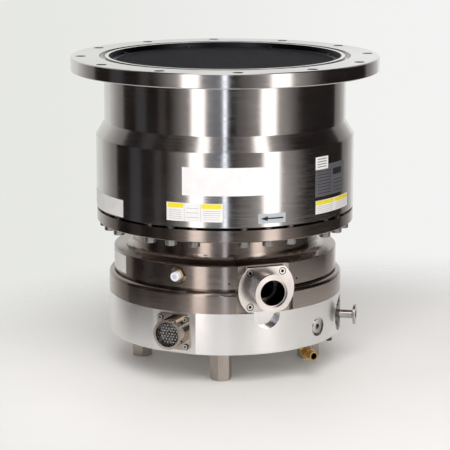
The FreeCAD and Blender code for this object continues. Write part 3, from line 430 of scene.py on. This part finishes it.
def near_screws(tree, height, azimuth, across, upright, radius):
    """One within radius of the screws that stand that far across and up from a port's axis."""
    spot = object_spot(tree)
    out = port_axis(azimuth)
    sideways = (-out[1], out[0], 0.0)
    arm = vector_of(tree, "SUBTRACT", spot, (0.0, 0.0, height))
    total = 0.0
    for way, offset in ((sideways, across), ((0.0, 0.0, 1.0), upright)):
        reach = work_out(tree, "ABSOLUTE", number_of(tree, "DOT_PRODUCT", arm, way))
        reach = work_out(tree, "SUBTRACT", reach, offset)
        total = work_out(tree, "ADD", work_out(tree, "MULTIPLY", reach, reach), total)
    in_front = work_out(tree, "GREATER_THAN", number_of(tree, "DOT_PRODUCT", spot, out), 0.0)
    return work_out(tree, "MULTIPLY", work_out(tree, "LESS_THAN", total, radius ** 2), in_front)


def restyle(finish, inside, colour=None, roughness=None):
    """Where inside is one, change the colour, the roughness or both."""
    tree = finish.node_tree
    shader = tree.nodes["Principled BSDF"]
    if colour:
        socket = shader.inputs["Base Color"]
        tree.links.new(blend(tree, inside, socket.links[0].from_socket, colour), socket)
    if roughness:
        socket = shader.inputs["Roughness"]
        # The two numbers that a Mix node mixes are its sockets 2 and 3
        inputs = {0: inside, 2: socket.links[0].from_socket, 3: roughness}
        tree.links.new(add_node(tree, "ShaderNodeMix", inputs, data_type="FLOAT").outputs[0], socket)


# %% [markdown]
# There is one finish for each material slot of the frame. Only the ports, the plug and the connector's
# shell are left for the next cell. Stainless steel is a neutral grey, the cast base is a browner and
# darker grey, machined aluminium is the lightest, and brass, copper and rubber keep their own colours.
# The colours are those of the bare metals in plain light.

# %% Make the finishes
# Each recipe: its slot and maker, its dark and light colour, its roughness, and what else the maker takes
recipes = (
    ("casing_steel", turned_metal, (0.55, 0.53, 0.52), (0.62, 0.60, 0.59), 0.18, 0.8, 900.0, 3e-6),
    ("base_casting", turned_metal, (0.31, 0.265, 0.24), (0.37, 0.32, 0.29), 0.20, 0.6, 900.0, 2e-6, 0.25),
    ("housing_alloy", turned_metal, (0.80, 0.79, 0.78), (0.87, 0.86, 0.85), 0.31, 0.3, 900.0, 2e-6, 0.12),
    ("screen_wire", grained_metal, (0.04, 0.042, 0.052), (0.07, 0.073, 0.088), 0.5, 900.0, 1e-5),
    ("dark_screw_steel", grained_metal, (0.10, 0.10, 0.10), (0.20, 0.19, 0.19), 0.4, 700.0, 1e-5),
    ("stator_alloy", grained_metal, (0.60, 0.60, 0.61), (0.70, 0.70, 0.70), 0.4, 600.0, 1e-5),
    ("rotor_alloy", grained_metal, (0.52, 0.52, 0.54), (0.64, 0.64, 0.65), 0.35, 600.0, 1e-5),
    ("screw_steel", grained_metal, (0.50, 0.49, 0.48), (0.66, 0.65, 0.64), 0.3, 900.0, 1e-5),
    ("bolt_steel", grained_metal, (0.24, 0.23, 0.22), (0.36, 0.35, 0.33), 0.38, 900.0, 1e-5),
    ("column_alloy", grained_metal, (0.60, 0.60, 0.60), (0.70, 0.70, 0.70), 0.4, 600.0, 1e-5),
    ("core_steel", grained_metal, (0.28, 0.28, 0.29), (0.38, 0.38, 0.39), 0.45, 800.0, 1e-5),
    ("copper_wire", grained_metal, (0.60, 0.26, 0.12), (0.75, 0.36, 0.18), 0.35, 900.0, 2e-5),
    ("bearing_steel", grained_metal, (0.58, 0.58, 0.58), (0.68, 0.68, 0.68), 0.2, 900.0, 4e-6),
    ("shaft_steel", grained_metal, (0.50, 0.50, 0.50), (0.62, 0.62, 0.62), 0.25, 900.0, 4e-6),
    ("leg_alloy", grained_metal, (0.42, 0.37, 0.33), (0.52, 0.47, 0.42), 0.4, 700.0, 1e-5),
    ("contact_gold", grained_metal, (0.72, 0.68, 0.62), (0.86, 0.82, 0.76), 0.3, 900.0, 5e-6),
    ("vent_nickel", grained_metal, (0.60, 0.46, 0.30), (0.74, 0.62, 0.46), 0.22, 700.0, 5e-6),
    ("fitting_brass", grained_metal, (0.50, 0.31, 0.10), (0.68, 0.45, 0.18), 0.28, 500.0, 1e-5),
    ("seal_rubber", moulded, (0.012, 0.012, 0.012), (0.03, 0.03, 0.03), 0.55, 300.0, 2e-5),
    ("sensor_plastic", moulded, (0.03, 0.07, 0.05), (0.05, 0.10, 0.07), 0.5, 300.0, 1e-5),
    ("insert_plastic", moulded, (0.012, 0.014, 0.03), (0.03, 0.032, 0.06), 0.45, 400.0, 1e-5),
    ("cap_white", moulded, (0.74, 0.75, 0.80), (0.84, 0.85, 0.88), 0.35, 300.0, 1e-5),
    ("cap_dark", moulded, (0.02, 0.02, 0.02), (0.05, 0.05, 0.05), 0.45, 300.0, 1e-5),
)
finishes = {slot: maker(slot, *values) for slot, maker, *values in recipes}
print("finishes:", len(finishes))

# %% [markdown]
# The ports were turned about axes of their own, so their rings run round those axes. Their flat faces are
# duller than their tubes. The screws that hold them sit in the corners of the plates, each with a ring of
# painted shade round its head and painted shade in its socket. The bores of the ports are painted dark as
# shade too.

# %% Finish the ports
# Each place: the height of the port's axis in metres, and its azimuth in degrees
exhaust_place = (0.142, 22.5)
purge_place = (0.073, 82.0)
connector_place = (0.0785, -22.5)
plug_place = (0.073, 54.0)
# How far the screws stand across and up from the axis
exhaust_screws = (0.02435, 0.02435)
purge_screws = (0.0, 0.0188)
connector_screws = (0.01975, 0.01975)
exhaust_bore, exhaust_gap, exhaust_socket = 0.0184, 0.0054, 0.0023
purge_bore, purge_socket = 0.0052, 0.0021
connector_gap, connector_socket = 0.0043, 0.0015
exhaust_face_roughness = 0.25
# Painted shade for the bores, the gaps round sunk screw heads and the screw sockets
painted_hole_shade = (0.035, 0.033, 0.032)
port_fineness = 900.0
port_depth = 3e-6
port_uneven = 0.2


def port_metal(name, dark, light, roughness, stretch, place):
    height, azimuth = place
    axis = port_axis(azimuth)
    rings = (port_fineness, port_depth, port_uneven)
    return turned_metal(name, dark, light, roughness, stretch, *rings, (0.0, 0.0, height), axis)


exhaust_steel = port_metal("exhaust_steel", (0.34, 0.32, 0.305), (0.62, 0.59, 0.57), 0.12, 0.5, exhaust_place)
purge_steel = port_metal("purge_steel", (0.34, 0.32, 0.305), (0.60, 0.575, 0.555), 0.07, 0.35, purge_place)
plug_steel = port_metal("plug_steel", (0.10, 0.095, 0.09), (0.78, 0.75, 0.73), 0.1, 0.4, plug_place)
shell_nickel = port_metal("shell_nickel", (0.30, 0.25, 0.21), (0.62, 0.55, 0.48), 0.09, 0.4, connector_place)
screw_colours = ((0.50, 0.49, 0.48), (0.66, 0.65, 0.64))
socket_screws = grained_metal("socket_screws", *screw_colours, 0.26, 900.0, 1e-5)
flange_screws = grained_metal("flange_screws", *screw_colours, 0.26, 900.0, 1e-5)

restyle(exhaust_steel, facing(exhaust_steel.node_tree, exhaust_place[1]), roughness=exhaust_face_roughness)
# Painted shade inside the bores of the exhaust and purge ports
for finish, place, bore in (
    (exhaust_steel, exhaust_place, exhaust_bore),
    (purge_steel, purge_place, purge_bore),
):
    restyle(finish, in_bore(finish.node_tree, *place, bore), painted_hole_shade)
# Painted shade in the gaps round the screw heads and in their sockets
for finish, place, screws, radius in (
    (exhaust_steel, exhaust_place, exhaust_screws, exhaust_gap),
    (shell_nickel, connector_place, connector_screws, connector_gap),
    (socket_screws, exhaust_place, exhaust_screws, exhaust_socket),
    (socket_screws, purge_place, purge_screws, purge_socket),
    (flange_screws, connector_place, connector_screws, connector_socket),
):
    restyle(finish, near_screws(finish.node_tree, *place, *screws, radius), painted_hole_shade)
print("ports:", exhaust_place, purge_place, connector_place)

# %% [markdown]
# Every solid now gets its finish: its own one where it has one, and the one of its slot elsewhere.

# %% Put the finishes on
own_finishes = {
    "exhaust_port": exhaust_steel,
    "purge_port": purge_steel,
    "access_plug": plug_steel,
    "connector_shell": shell_nickel,
    "port_screws": socket_screws,
    "connector_screws": flange_screws,
}
slot_of = {part["node"]: part["material_slot"] for part in frame["record"]["subparts"]}
for name, piece in nodes.items():
    piece.data.materials.clear()
    piece.data.materials.append(own_finishes[name] if name in own_finishes else finishes[slot_of[name]])
print("finished:", len(nodes))

# %% [markdown]
# Smaller places get the same treatment. The inside of the brass nose is painted dark as shade. The round
# pocket that was milled under the exhaust flange is bright and smooth, the one round the purge plate is dull,
# and so is the flat behind the exhaust flange. The top of the inlet flange is painted brighter than its sides
# as painted light, and its mouth is dark. The vent's white cap has a bluish middle. Small pale rings on the
# connector's insert stand for the rims of its contact holes.

# %% Finish the small places
nose_middle, nose_azimuth, nose_bore = (0.1173, -0.1027, 0.036), 33.0, 0.0049
# Painted shade inside the bore of the brass nose
nose_painted_shade = (0.05, 0.03, 0.015)
housing_wall = 0.1719
pocket_height, pocket_azimuth, pocket_radius = 0.1036, 23.0, 0.0197
pocket_colour = (0.68, 0.67, 0.66)
pocket_roughness = 0.18
purge_pocket_radius = 0.03
purge_pocket_roughness = 0.6
flange_top = 0.4535
# Painted light: a brighter colour for the top face of the inlet flange
flange_top_painted_light = (0.74, 0.73, 0.72)
mouth_radius = 0.1698
mouth_dark = (0.055, 0.055, 0.065)
mouth_roughness = 0.45
flat_reach, flat_start = 0.055, 0.140
flat_roughness = 0.42
cap_height, cap_azimuth, cap_middle = 0.1595, -21.0, 0.0036
cap_blue = (0.52, 0.53, 0.66)
contact_scale = 340.0
contact_spread = 0.6
ring_middle, ring_half_width = 0.36, 0.07
contact_grey = (0.55, 0.55, 0.60)


def from_pump_axis(tree):
    """How far a point is from the pump's axis, and how high it is."""
    return lathe_frame(tree, (0.0, 0.0, 0.0), (0.0, 0.0, 1.0))[:2]


brass = finishes["fitting_brass"]
# Painted shade: the brass is darkened inside the nose's bore
nose_reach = lathe_frame(brass.node_tree, nose_middle, port_axis(nose_azimuth))[0]
restyle(brass, work_out(brass.node_tree, "LESS_THAN", nose_reach, nose_bore), nose_painted_shade)

housing = finishes["housing_alloy"]
tree = housing.node_tree
inside_wall = work_out(tree, "LESS_THAN", from_pump_axis(tree)[0], housing_wall)
pocket = in_bore(tree, pocket_height, pocket_azimuth, pocket_radius)
restyle(housing, work_out(tree, "MULTIPLY", pocket, inside_wall), pocket_colour, pocket_roughness)
purge_pocket = in_bore(tree, *purge_place, purge_pocket_radius)
restyle(housing, work_out(tree, "MULTIPLY", purge_pocket, inside_wall), roughness=purge_pocket_roughness)

steel = finishes["casing_steel"]
tree = steel.node_tree
mouth_reach, level = from_pump_axis(tree)
# Painted light: the top face of the inlet flange is painted brighter than its sides
restyle(steel, work_out(tree, "GREATER_THAN", level, flange_top), flange_top_painted_light)
restyle(steel, work_out(tree, "LESS_THAN", mouth_reach, mouth_radius), mouth_dark, mouth_roughness)

casting = finishes["base_casting"]
tree = casting.node_tree
flat = work_out(tree, "MULTIPLY", facing(tree, exhaust_place[1]), in_bore(tree, *exhaust_place, flat_reach))
outside = work_out(tree, "GREATER_THAN", from_pump_axis(tree)[0], flat_start)
restyle(casting, work_out(tree, "MULTIPLY", flat, outside), roughness=flat_roughness)

cap = finishes["cap_white"]
restyle(cap, in_bore(cap.node_tree, cap_height, cap_azimuth, cap_middle), cap_blue)

insert = finishes["insert_plastic"]
tree = insert.node_tree
inputs = {"Vector": object_spot(tree), "Scale": contact_scale, "Randomness": contact_spread}
away = add_node(tree, "ShaderNodeTexVoronoi", inputs).outputs["Distance"]
restyle(insert, work_out(tree, "COMPARE", away, ring_middle, ring_half_width), contact_grey)
print("small places: nose, pockets, flange top, mouth, flat, cap and insert")

# %% [markdown]
# ## Labels
#
# Labels are thin plates that follow the round wall they are stuck to. A flat plane bent over a cylinder
# would need many cuts first. Turning a small upright strip round the pump's axis is simpler: the Spin
# tool sweeps it from one side of the label to the other, and the result is a closed curved plate. What
# was printed on them is left off; they keep only their colours, bands and empty lines. Angles are in
# degrees from the front, towards the right, and heights in millimetres.

# %% A strip spun round the pump's axis
millimetre = 0.001
spin_step = 3.0
fewest_steps = 4
same_point = 1e-6
smooth_below = math.radians(30.0)


def around_axis(name, inner, outer, low, high, start, end):
    """Sweep an upright strip round the axis from start to end; a full turn gives a ring."""
    bpy.ops.object.select_all(action="DESELECT")
    heading = math.radians(start - 90.0)
    middle = (inner + outer) / 2 * millimetre
    bpy.ops.mesh.primitive_plane_add(
        size=1.0,
        location=(middle * math.cos(heading), middle * math.sin(heading), (low + high) / 2 * millimetre),
        rotation=(math.radians(90.0), 0.0, heading),
    )
    piece = bpy.context.object
    piece.name = name
    piece.scale = ((outer - inner) * millimetre, (high - low) * millimetre, 1.0)
    bpy.ops.object.transform_apply(location=True, rotation=True, scale=True)
    bpy.ops.object.mode_set(mode="EDIT")
    bpy.ops.mesh.select_all(action="SELECT")
    if end - start >= 360.0:
        bpy.ops.mesh.delete(type="ONLY_FACE")
        bpy.ops.mesh.select_all(action="SELECT")
    steps = max(fewest_steps, round((end - start) / spin_step))
    bpy.ops.mesh.spin(steps=steps, angle=math.radians(end - start), center=(0, 0, 0), axis=(0, 0, -1))
    bpy.ops.mesh.select_all(action="SELECT")
    bpy.ops.mesh.remove_doubles(threshold=same_point)
    bpy.ops.mesh.normals_make_consistent(inside=False)
    bpy.ops.object.mode_set(mode="OBJECT")
    bpy.ops.object.shade_smooth_by_angle(angle=smooth_below)
    return piece


# %% [markdown]
# A label's print is a set of rectangles on a plain ground. The angle round the pump and the height say
# where a point is on the label, so each rectangle is two comparisons, and no picture is needed.

# %% A printed finish
print_roughness = 0.42
print_uneven = 0.1
wear = 0.94
wear_scale = 60.0


def printed(name, ground, panels, metallic):
    """Each panel is its start and end in degrees, its low and high in millimetres, and its colour."""
    finish, tree, shader = new_finish(name, metallic)
    spot = object_spot(tree)
    place = add_node(tree, "ShaderNodeSeparateXYZ", {0: spot}).outputs
    angle = work_out(tree, "ARCTAN2", place["X"], work_out(tree, "MULTIPLY", place["Y"], -1.0))
    fine = noise(tree, spot, wear_scale)
    worn = tuple(wear * part for part in ground)
    colour = blend(tree, ease(tree, fine, *fine_band), worn, ground)
    for start, end, low, high, ink in panels:
        middle, half = math.radians((start + end) / 2), math.radians((end - start) / 2)
        level, reach = (low + high) / 2 * millimetre, (high - low) / 2 * millimetre
        across = work_out(tree, "COMPARE", angle, middle, half)
        upright = work_out(tree, "COMPARE", place["Z"], level, reach)
        colour = blend(tree, work_out(tree, "MULTIPLY", across, upright), colour, ink)
    tree.links.new(colour, shader.inputs["Base Color"])
    roughness_by(tree, shader, fine, print_roughness, print_uneven)
    return finish


# %% [markdown]
# The white plate in front and the two labels at the left carry nothing at all. The others have a yellow
# band along the top, thin grey rules where lines of print were, or a plain black arrow that shows the way
# the rotor turns.

# %% Stick the labels on
label_thickness = 0.25
wall_radius = 189.3
ring_radius = 164.5
bright_white = (0.82, 0.82, 0.82)
white = (0.80, 0.80, 0.79)
yellow = (0.82, 0.68, 0.02)
rule_grey = (0.42, 0.42, 0.42)
text_grey = (0.25, 0.25, 0.25)
plate_grey = (0.26, 0.26, 0.29)
plate_dark = (0.10, 0.10, 0.11)
field_dark = (0.05, 0.05, 0.055)
silver_blue = (0.50, 0.54, 0.58)
ink_black = (0.02, 0.02, 0.02)


def rules(start, end, low, high, count, thickness, ink):
    """Level lines, count of them, spread from low to high."""
    gap = (high - low) / (count - 1)
    return [(start, end, low + row * gap, low + row * gap + thickness, ink) for row in range(count)]


def arrow_head(tip, width, low, high, rise, steps):
    """A wedge that points left, built up out of upright steps, each one taller than the last."""
    return [
        (tip + width * step, tip + width * (step + 1), low - rise * step, high + rise * step, ink_black)
        for step in range(steps)
    ]


# Each label: wall radius, start, end, low, high, ground, metallic, panels
labels = {
    "front_plate": (wall_radius, -15.6, 22.75, 280.2, 319.7, bright_white, 0.0, []),
    "three_field_label": (
        wall_radius, -22.65, 1.74, 243.5, 269.4, white, 0.0,
        [(-22.2, -15.1, 262.2, 268.8, yellow), (-7.1, 1.3, 262.2, 268.8, yellow)]
        + [(-14.75, -14.6, 244.0, 269.0, rule_grey), (-7.6, -7.45, 244.0, 269.0, rule_grey)]
        + rules(-21.6, -15.8, 246.5, 258.5, 5, 0.7, rule_grey)
        + rules(-6.4, 0.6, 246.5, 258.5, 5, 0.7, rule_grey)
        + rules(-13.8, -8.4, 249.0, 262.0, 3, 0.7, rule_grey)),
    "arrow_label": (
        wall_radius, 16.8, 29.1, 240.1, 254.0, silver_blue, 0.6,
        [(20.6, 28.0, 246.0, 248.2, ink_black)] + arrow_head(18.0, 0.5, 246.6, 247.6, 0.55, 6)),
    "rating_plate": (
        wall_radius, 44.8, 65.9, 269.0, 314.0, plate_grey, 0.7,
        [(56.5, 63.6, 297.0, 306.0, field_dark), (46.2, 64.6, 291.2, 291.8, rule_grey)]
        + rules(46.2, 55.0, 273.0, 304.0, 8, 1.3, plate_dark)
        + rules(57.0, 63.6, 273.0, 289.0, 4, 1.3, plate_dark)),
    "small_label": (
        wall_radius + label_thickness, 44.8, 52.7, 308.0, 326.0, white, 0.0,
        rules(45.8, 51.7, 311.0, 322.0, 4, 1.6, text_grey)),
    "band_label": (
        wall_radius, 45.05, 70.8, 244.6, 263.6, white, 0.0,
        [(45.4, 57.4, 257.2, 263.0, yellow), (58.2, 70.4, 257.2, 263.0, yellow)]
        + rules(46.2, 56.6, 246.6, 254.6, 4, 0.7, rule_grey)
        + rules(59.0, 69.6, 246.6, 254.6, 4, 0.7, rule_grey)),
    "left_label": (wall_radius, -92.3, -47.0, 236.6, 261.5, white, 0.0, []),
    "ring_label": (ring_radius, -78.3, -58.0, 145.0, 171.1, white, 0.0, []),
}
for name, (radius, start, end, low, high, ground, metallic, panels) in labels.items():
    plate = around_axis(name, radius, radius + label_thickness, low, high, start, end)
    plate.data.materials.append(printed(name, ground, panels, metallic))
    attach(plate, "pump_housing")
print("labels:", len(labels))

# %% [markdown]
# ## The inlet screen
#
# A fine mesh in the mouth keeps loose parts out of the blades. It is two layers of straight wire held in
# a flat ring. A picture with holes in it would look flat from the side, so every wire here is a thin
# six-sided rod, cut to the length it needs to reach the ring, and added in edit mode so that all of them
# end in one mesh.

# %% Weave the inlet screen
wire_radius = 0.4
wire_pitch = 4.0
wire_hold = 1.0
screen_low = 445.2
screen_high = screen_low + 4 * wire_radius
screen_hole = 159.0
screen_edge = 169.0
screen_turn = -14.0
wires_each_way = int(screen_hole / wire_pitch)

screen = around_axis("inlet_mesh", screen_hole, screen_edge, screen_low, screen_high, 0.0, 360.0)
bpy.ops.object.mode_set(mode="EDIT")
for layer in range(2):
    heading = math.radians(screen_turn + 90.0 * layer)
    level = screen_low + wire_radius * (1 + 2 * layer)
    for index in range(-wires_each_way, wires_each_way + 1):
        offset = index * wire_pitch
        length = 2 * (math.sqrt(screen_hole ** 2 - offset ** 2) + wire_hold)
        middle = (-offset * math.sin(heading), offset * math.cos(heading), level)
        bpy.ops.mesh.primitive_cylinder_add(
            vertices=6,
            radius=wire_radius * millimetre,
            depth=length * millimetre,
            location=[part * millimetre for part in middle],
            rotation=(0.0, math.radians(90.0), heading),
        )
bpy.ops.object.mode_set(mode="OBJECT")
screen.data.materials.append(finishes["screen_wire"])
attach(screen, "pump_housing")
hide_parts("inlet_screen")
print("screen wires:", 2 * (2 * wires_each_way + 1))

# %% [markdown]
# ## Socket head screws
#
# The casing bolts and the two screws of the purge plate are socket head screws. Their rims are rounded
# off, and that thin round edge is what catches the light. A head starts as a cylinder. Its upper rim is
# bevelled, and a six-sided rod cuts the socket out of it with a Boolean modifier. An inset of the round
# face would keep all its corners and never turn into a hexagon.

# %% Helpers that make a head
head_sides = 24
rim_round = 0.9
faces_along = 0.9


def pick_faces(piece, wanted):
    """Select the faces for which wanted says yes, and leave the piece in edit mode."""
    bpy.ops.object.mode_set(mode="EDIT")
    bpy.ops.mesh.select_all(action="DESELECT")
    bpy.ops.object.mode_set(mode="OBJECT")
    for face in piece.data.polygons:
        face.select = wanted(face)
    bpy.ops.object.mode_set(mode="EDIT")


def upright_bar(vertices, radius, low, high):
    """A round or six-sided bar about the Z axis, in millimetres, whose object starts at the origin."""
    bpy.ops.object.select_all(action="DESELECT")
    bpy.ops.mesh.primitive_cylinder_add(
        vertices=vertices, radius=radius * millimetre, depth=(high - low) * millimetre,
        location=(0.0, 0.0, (low + high) / 2 * millimetre),
    )
    bpy.ops.object.transform_apply(location=True, rotation=True, scale=True)
    return bpy.context.object


def socket_head(name, radius, height, flats, depth):
    """A screw head that stands on the XY plane, with its socket on top."""
    head = upright_bar(head_sides, radius, 0.0, height)
    head.name = name
    pick_faces(head, lambda face: face.normal.z > faces_along)
    bpy.ops.mesh.bevel(offset=rim_round * millimetre, segments=2, affect="EDGES")
    bpy.ops.object.mode_set(mode="OBJECT")
    tool = upright_bar(6, flats / math.sqrt(3.0), height - depth, height + depth)
    bpy.ops.object.select_all(action="DESELECT")
    head.select_set(True)
    bpy.context.view_layer.objects.active = head
    cut = head.modifiers.new("cut", "BOOLEAN")
    cut.operation = "DIFFERENCE"
    cut.object = tool
    bpy.ops.object.modifier_apply(modifier="cut")
    bpy.data.objects.remove(tool)
    bpy.ops.object.shade_smooth_by_angle(angle=smooth_below)
    return head


def settle(piece, finish):
    """Apply the piece's place, give it its finish and let it stand still with the housing."""
    bpy.ops.object.select_all(action="DESELECT")
    piece.select_set(True)
    bpy.context.view_layer.objects.active = piece
    bpy.ops.object.transform_apply(location=True, rotation=True, scale=True)
    piece.data.materials.clear()
    piece.data.materials.append(finish)
    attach(piece, "pump_housing")


# %% [markdown]
# A casing bolt hangs head down under the base flange. Its shank is the head's flat end, inset and pulled
# out through the flange into the casing. The finished bolt is copied round in eight groups of three.

# %% Make one casing bolt
head_radius = 8.0
head_height = 8.5
head_flats = 8.0
head_socket_depth = 4.2
head_top = 214.0
shank_radius = 4.95
shank_length = 35.0
near_bottom = 0.1

bolt = socket_head("bolt", head_radius, head_height, head_flats, head_socket_depth)
pick_faces(bolt, lambda face: face.normal.z < -faces_along and face.center.z < near_bottom * millimetre)
bpy.ops.mesh.inset(thickness=(head_radius - shank_radius) * millimetre)
bpy.ops.mesh.extrude_region_move(TRANSFORM_OT_translate={"value": (0.0, 0.0, -shank_length * millimetre)})
bpy.ops.object.mode_set(mode="OBJECT")
bolt.rotation_euler = (math.radians(180.0), 0.0, 0.0)
bolt.location = (0.0, 0.0, head_top * millimetre)
bpy.ops.object.transform_apply(location=True, rotation=True, scale=True)
print("one bolt:", len(bolt.data.polygons), "faces")

# %% [markdown]
# The copies are made in code, one at a time, and each gets a mesh of its own. Then they are joined, so
# that all the bolts are one piece, as they are one node in the frame.

# %% Copy the bolt round
bolt_circle = 177.5
bolt_groups = 8
first_group = 22.5
bolt_step = 11.25

copies = []
for group in range(bolt_groups):
    for side in (-1, 0, 1):
        azimuth = first_group + 360.0 / bolt_groups * group + bolt_step * side
        copy = bolt.copy()
        copy.data = bolt.data.copy()
        bpy.context.scene.collection.objects.link(copy)
        copy.location = [part * bolt_circle * millimetre for part in port_axis(azimuth)]
        copy.rotation_euler = (0.0, 0.0, math.radians(azimuth))
        copies.append(copy)
bpy.data.objects.remove(bolt)
bpy.ops.object.select_all(action="DESELECT")
for copy in copies:
    copy.select_set(True)
bpy.context.view_layer.objects.active = copies[0]
bpy.ops.object.join()
bolts = bpy.context.object
bolts.name = "flange_bolts"
settle(bolts, finishes["bolt_steel"])
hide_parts("casing_bolts")
print("bolts:", len(copies))

# %% [markdown]
# The purge plate lies in a round pocket. Its two screws stand proud of it, one above and one below the
# tube, and their sides show past the edge of the pocket.

# %% Stand the heads on the purge plate
plate_face = 165.0
proud_radius = 6.4
proud_height = 7.2
proud_flats = 5.0
proud_socket_depth = 4.0

dark_heads = grained_metal("dark_heads", (0.15, 0.145, 0.14), (0.52, 0.50, 0.48), 0.24, 420.0, 1e-5)
purge_height, purge_azimuth = purge_place
for name, side in (("purge_head_low", -1), ("purge_head_high", 1)):
    head = socket_head(name, proud_radius, proud_height, proud_flats, proud_socket_depth)
    head.rotation_euler = (math.radians(90.0), 0.0, math.radians(purge_azimuth))
    head.location = [part * plate_face * millimetre for part in port_axis(purge_azimuth)]
    head.location.z = purge_height + side * purge_screws[1]
    settle(head, dark_heads)
print("proud heads: 2")
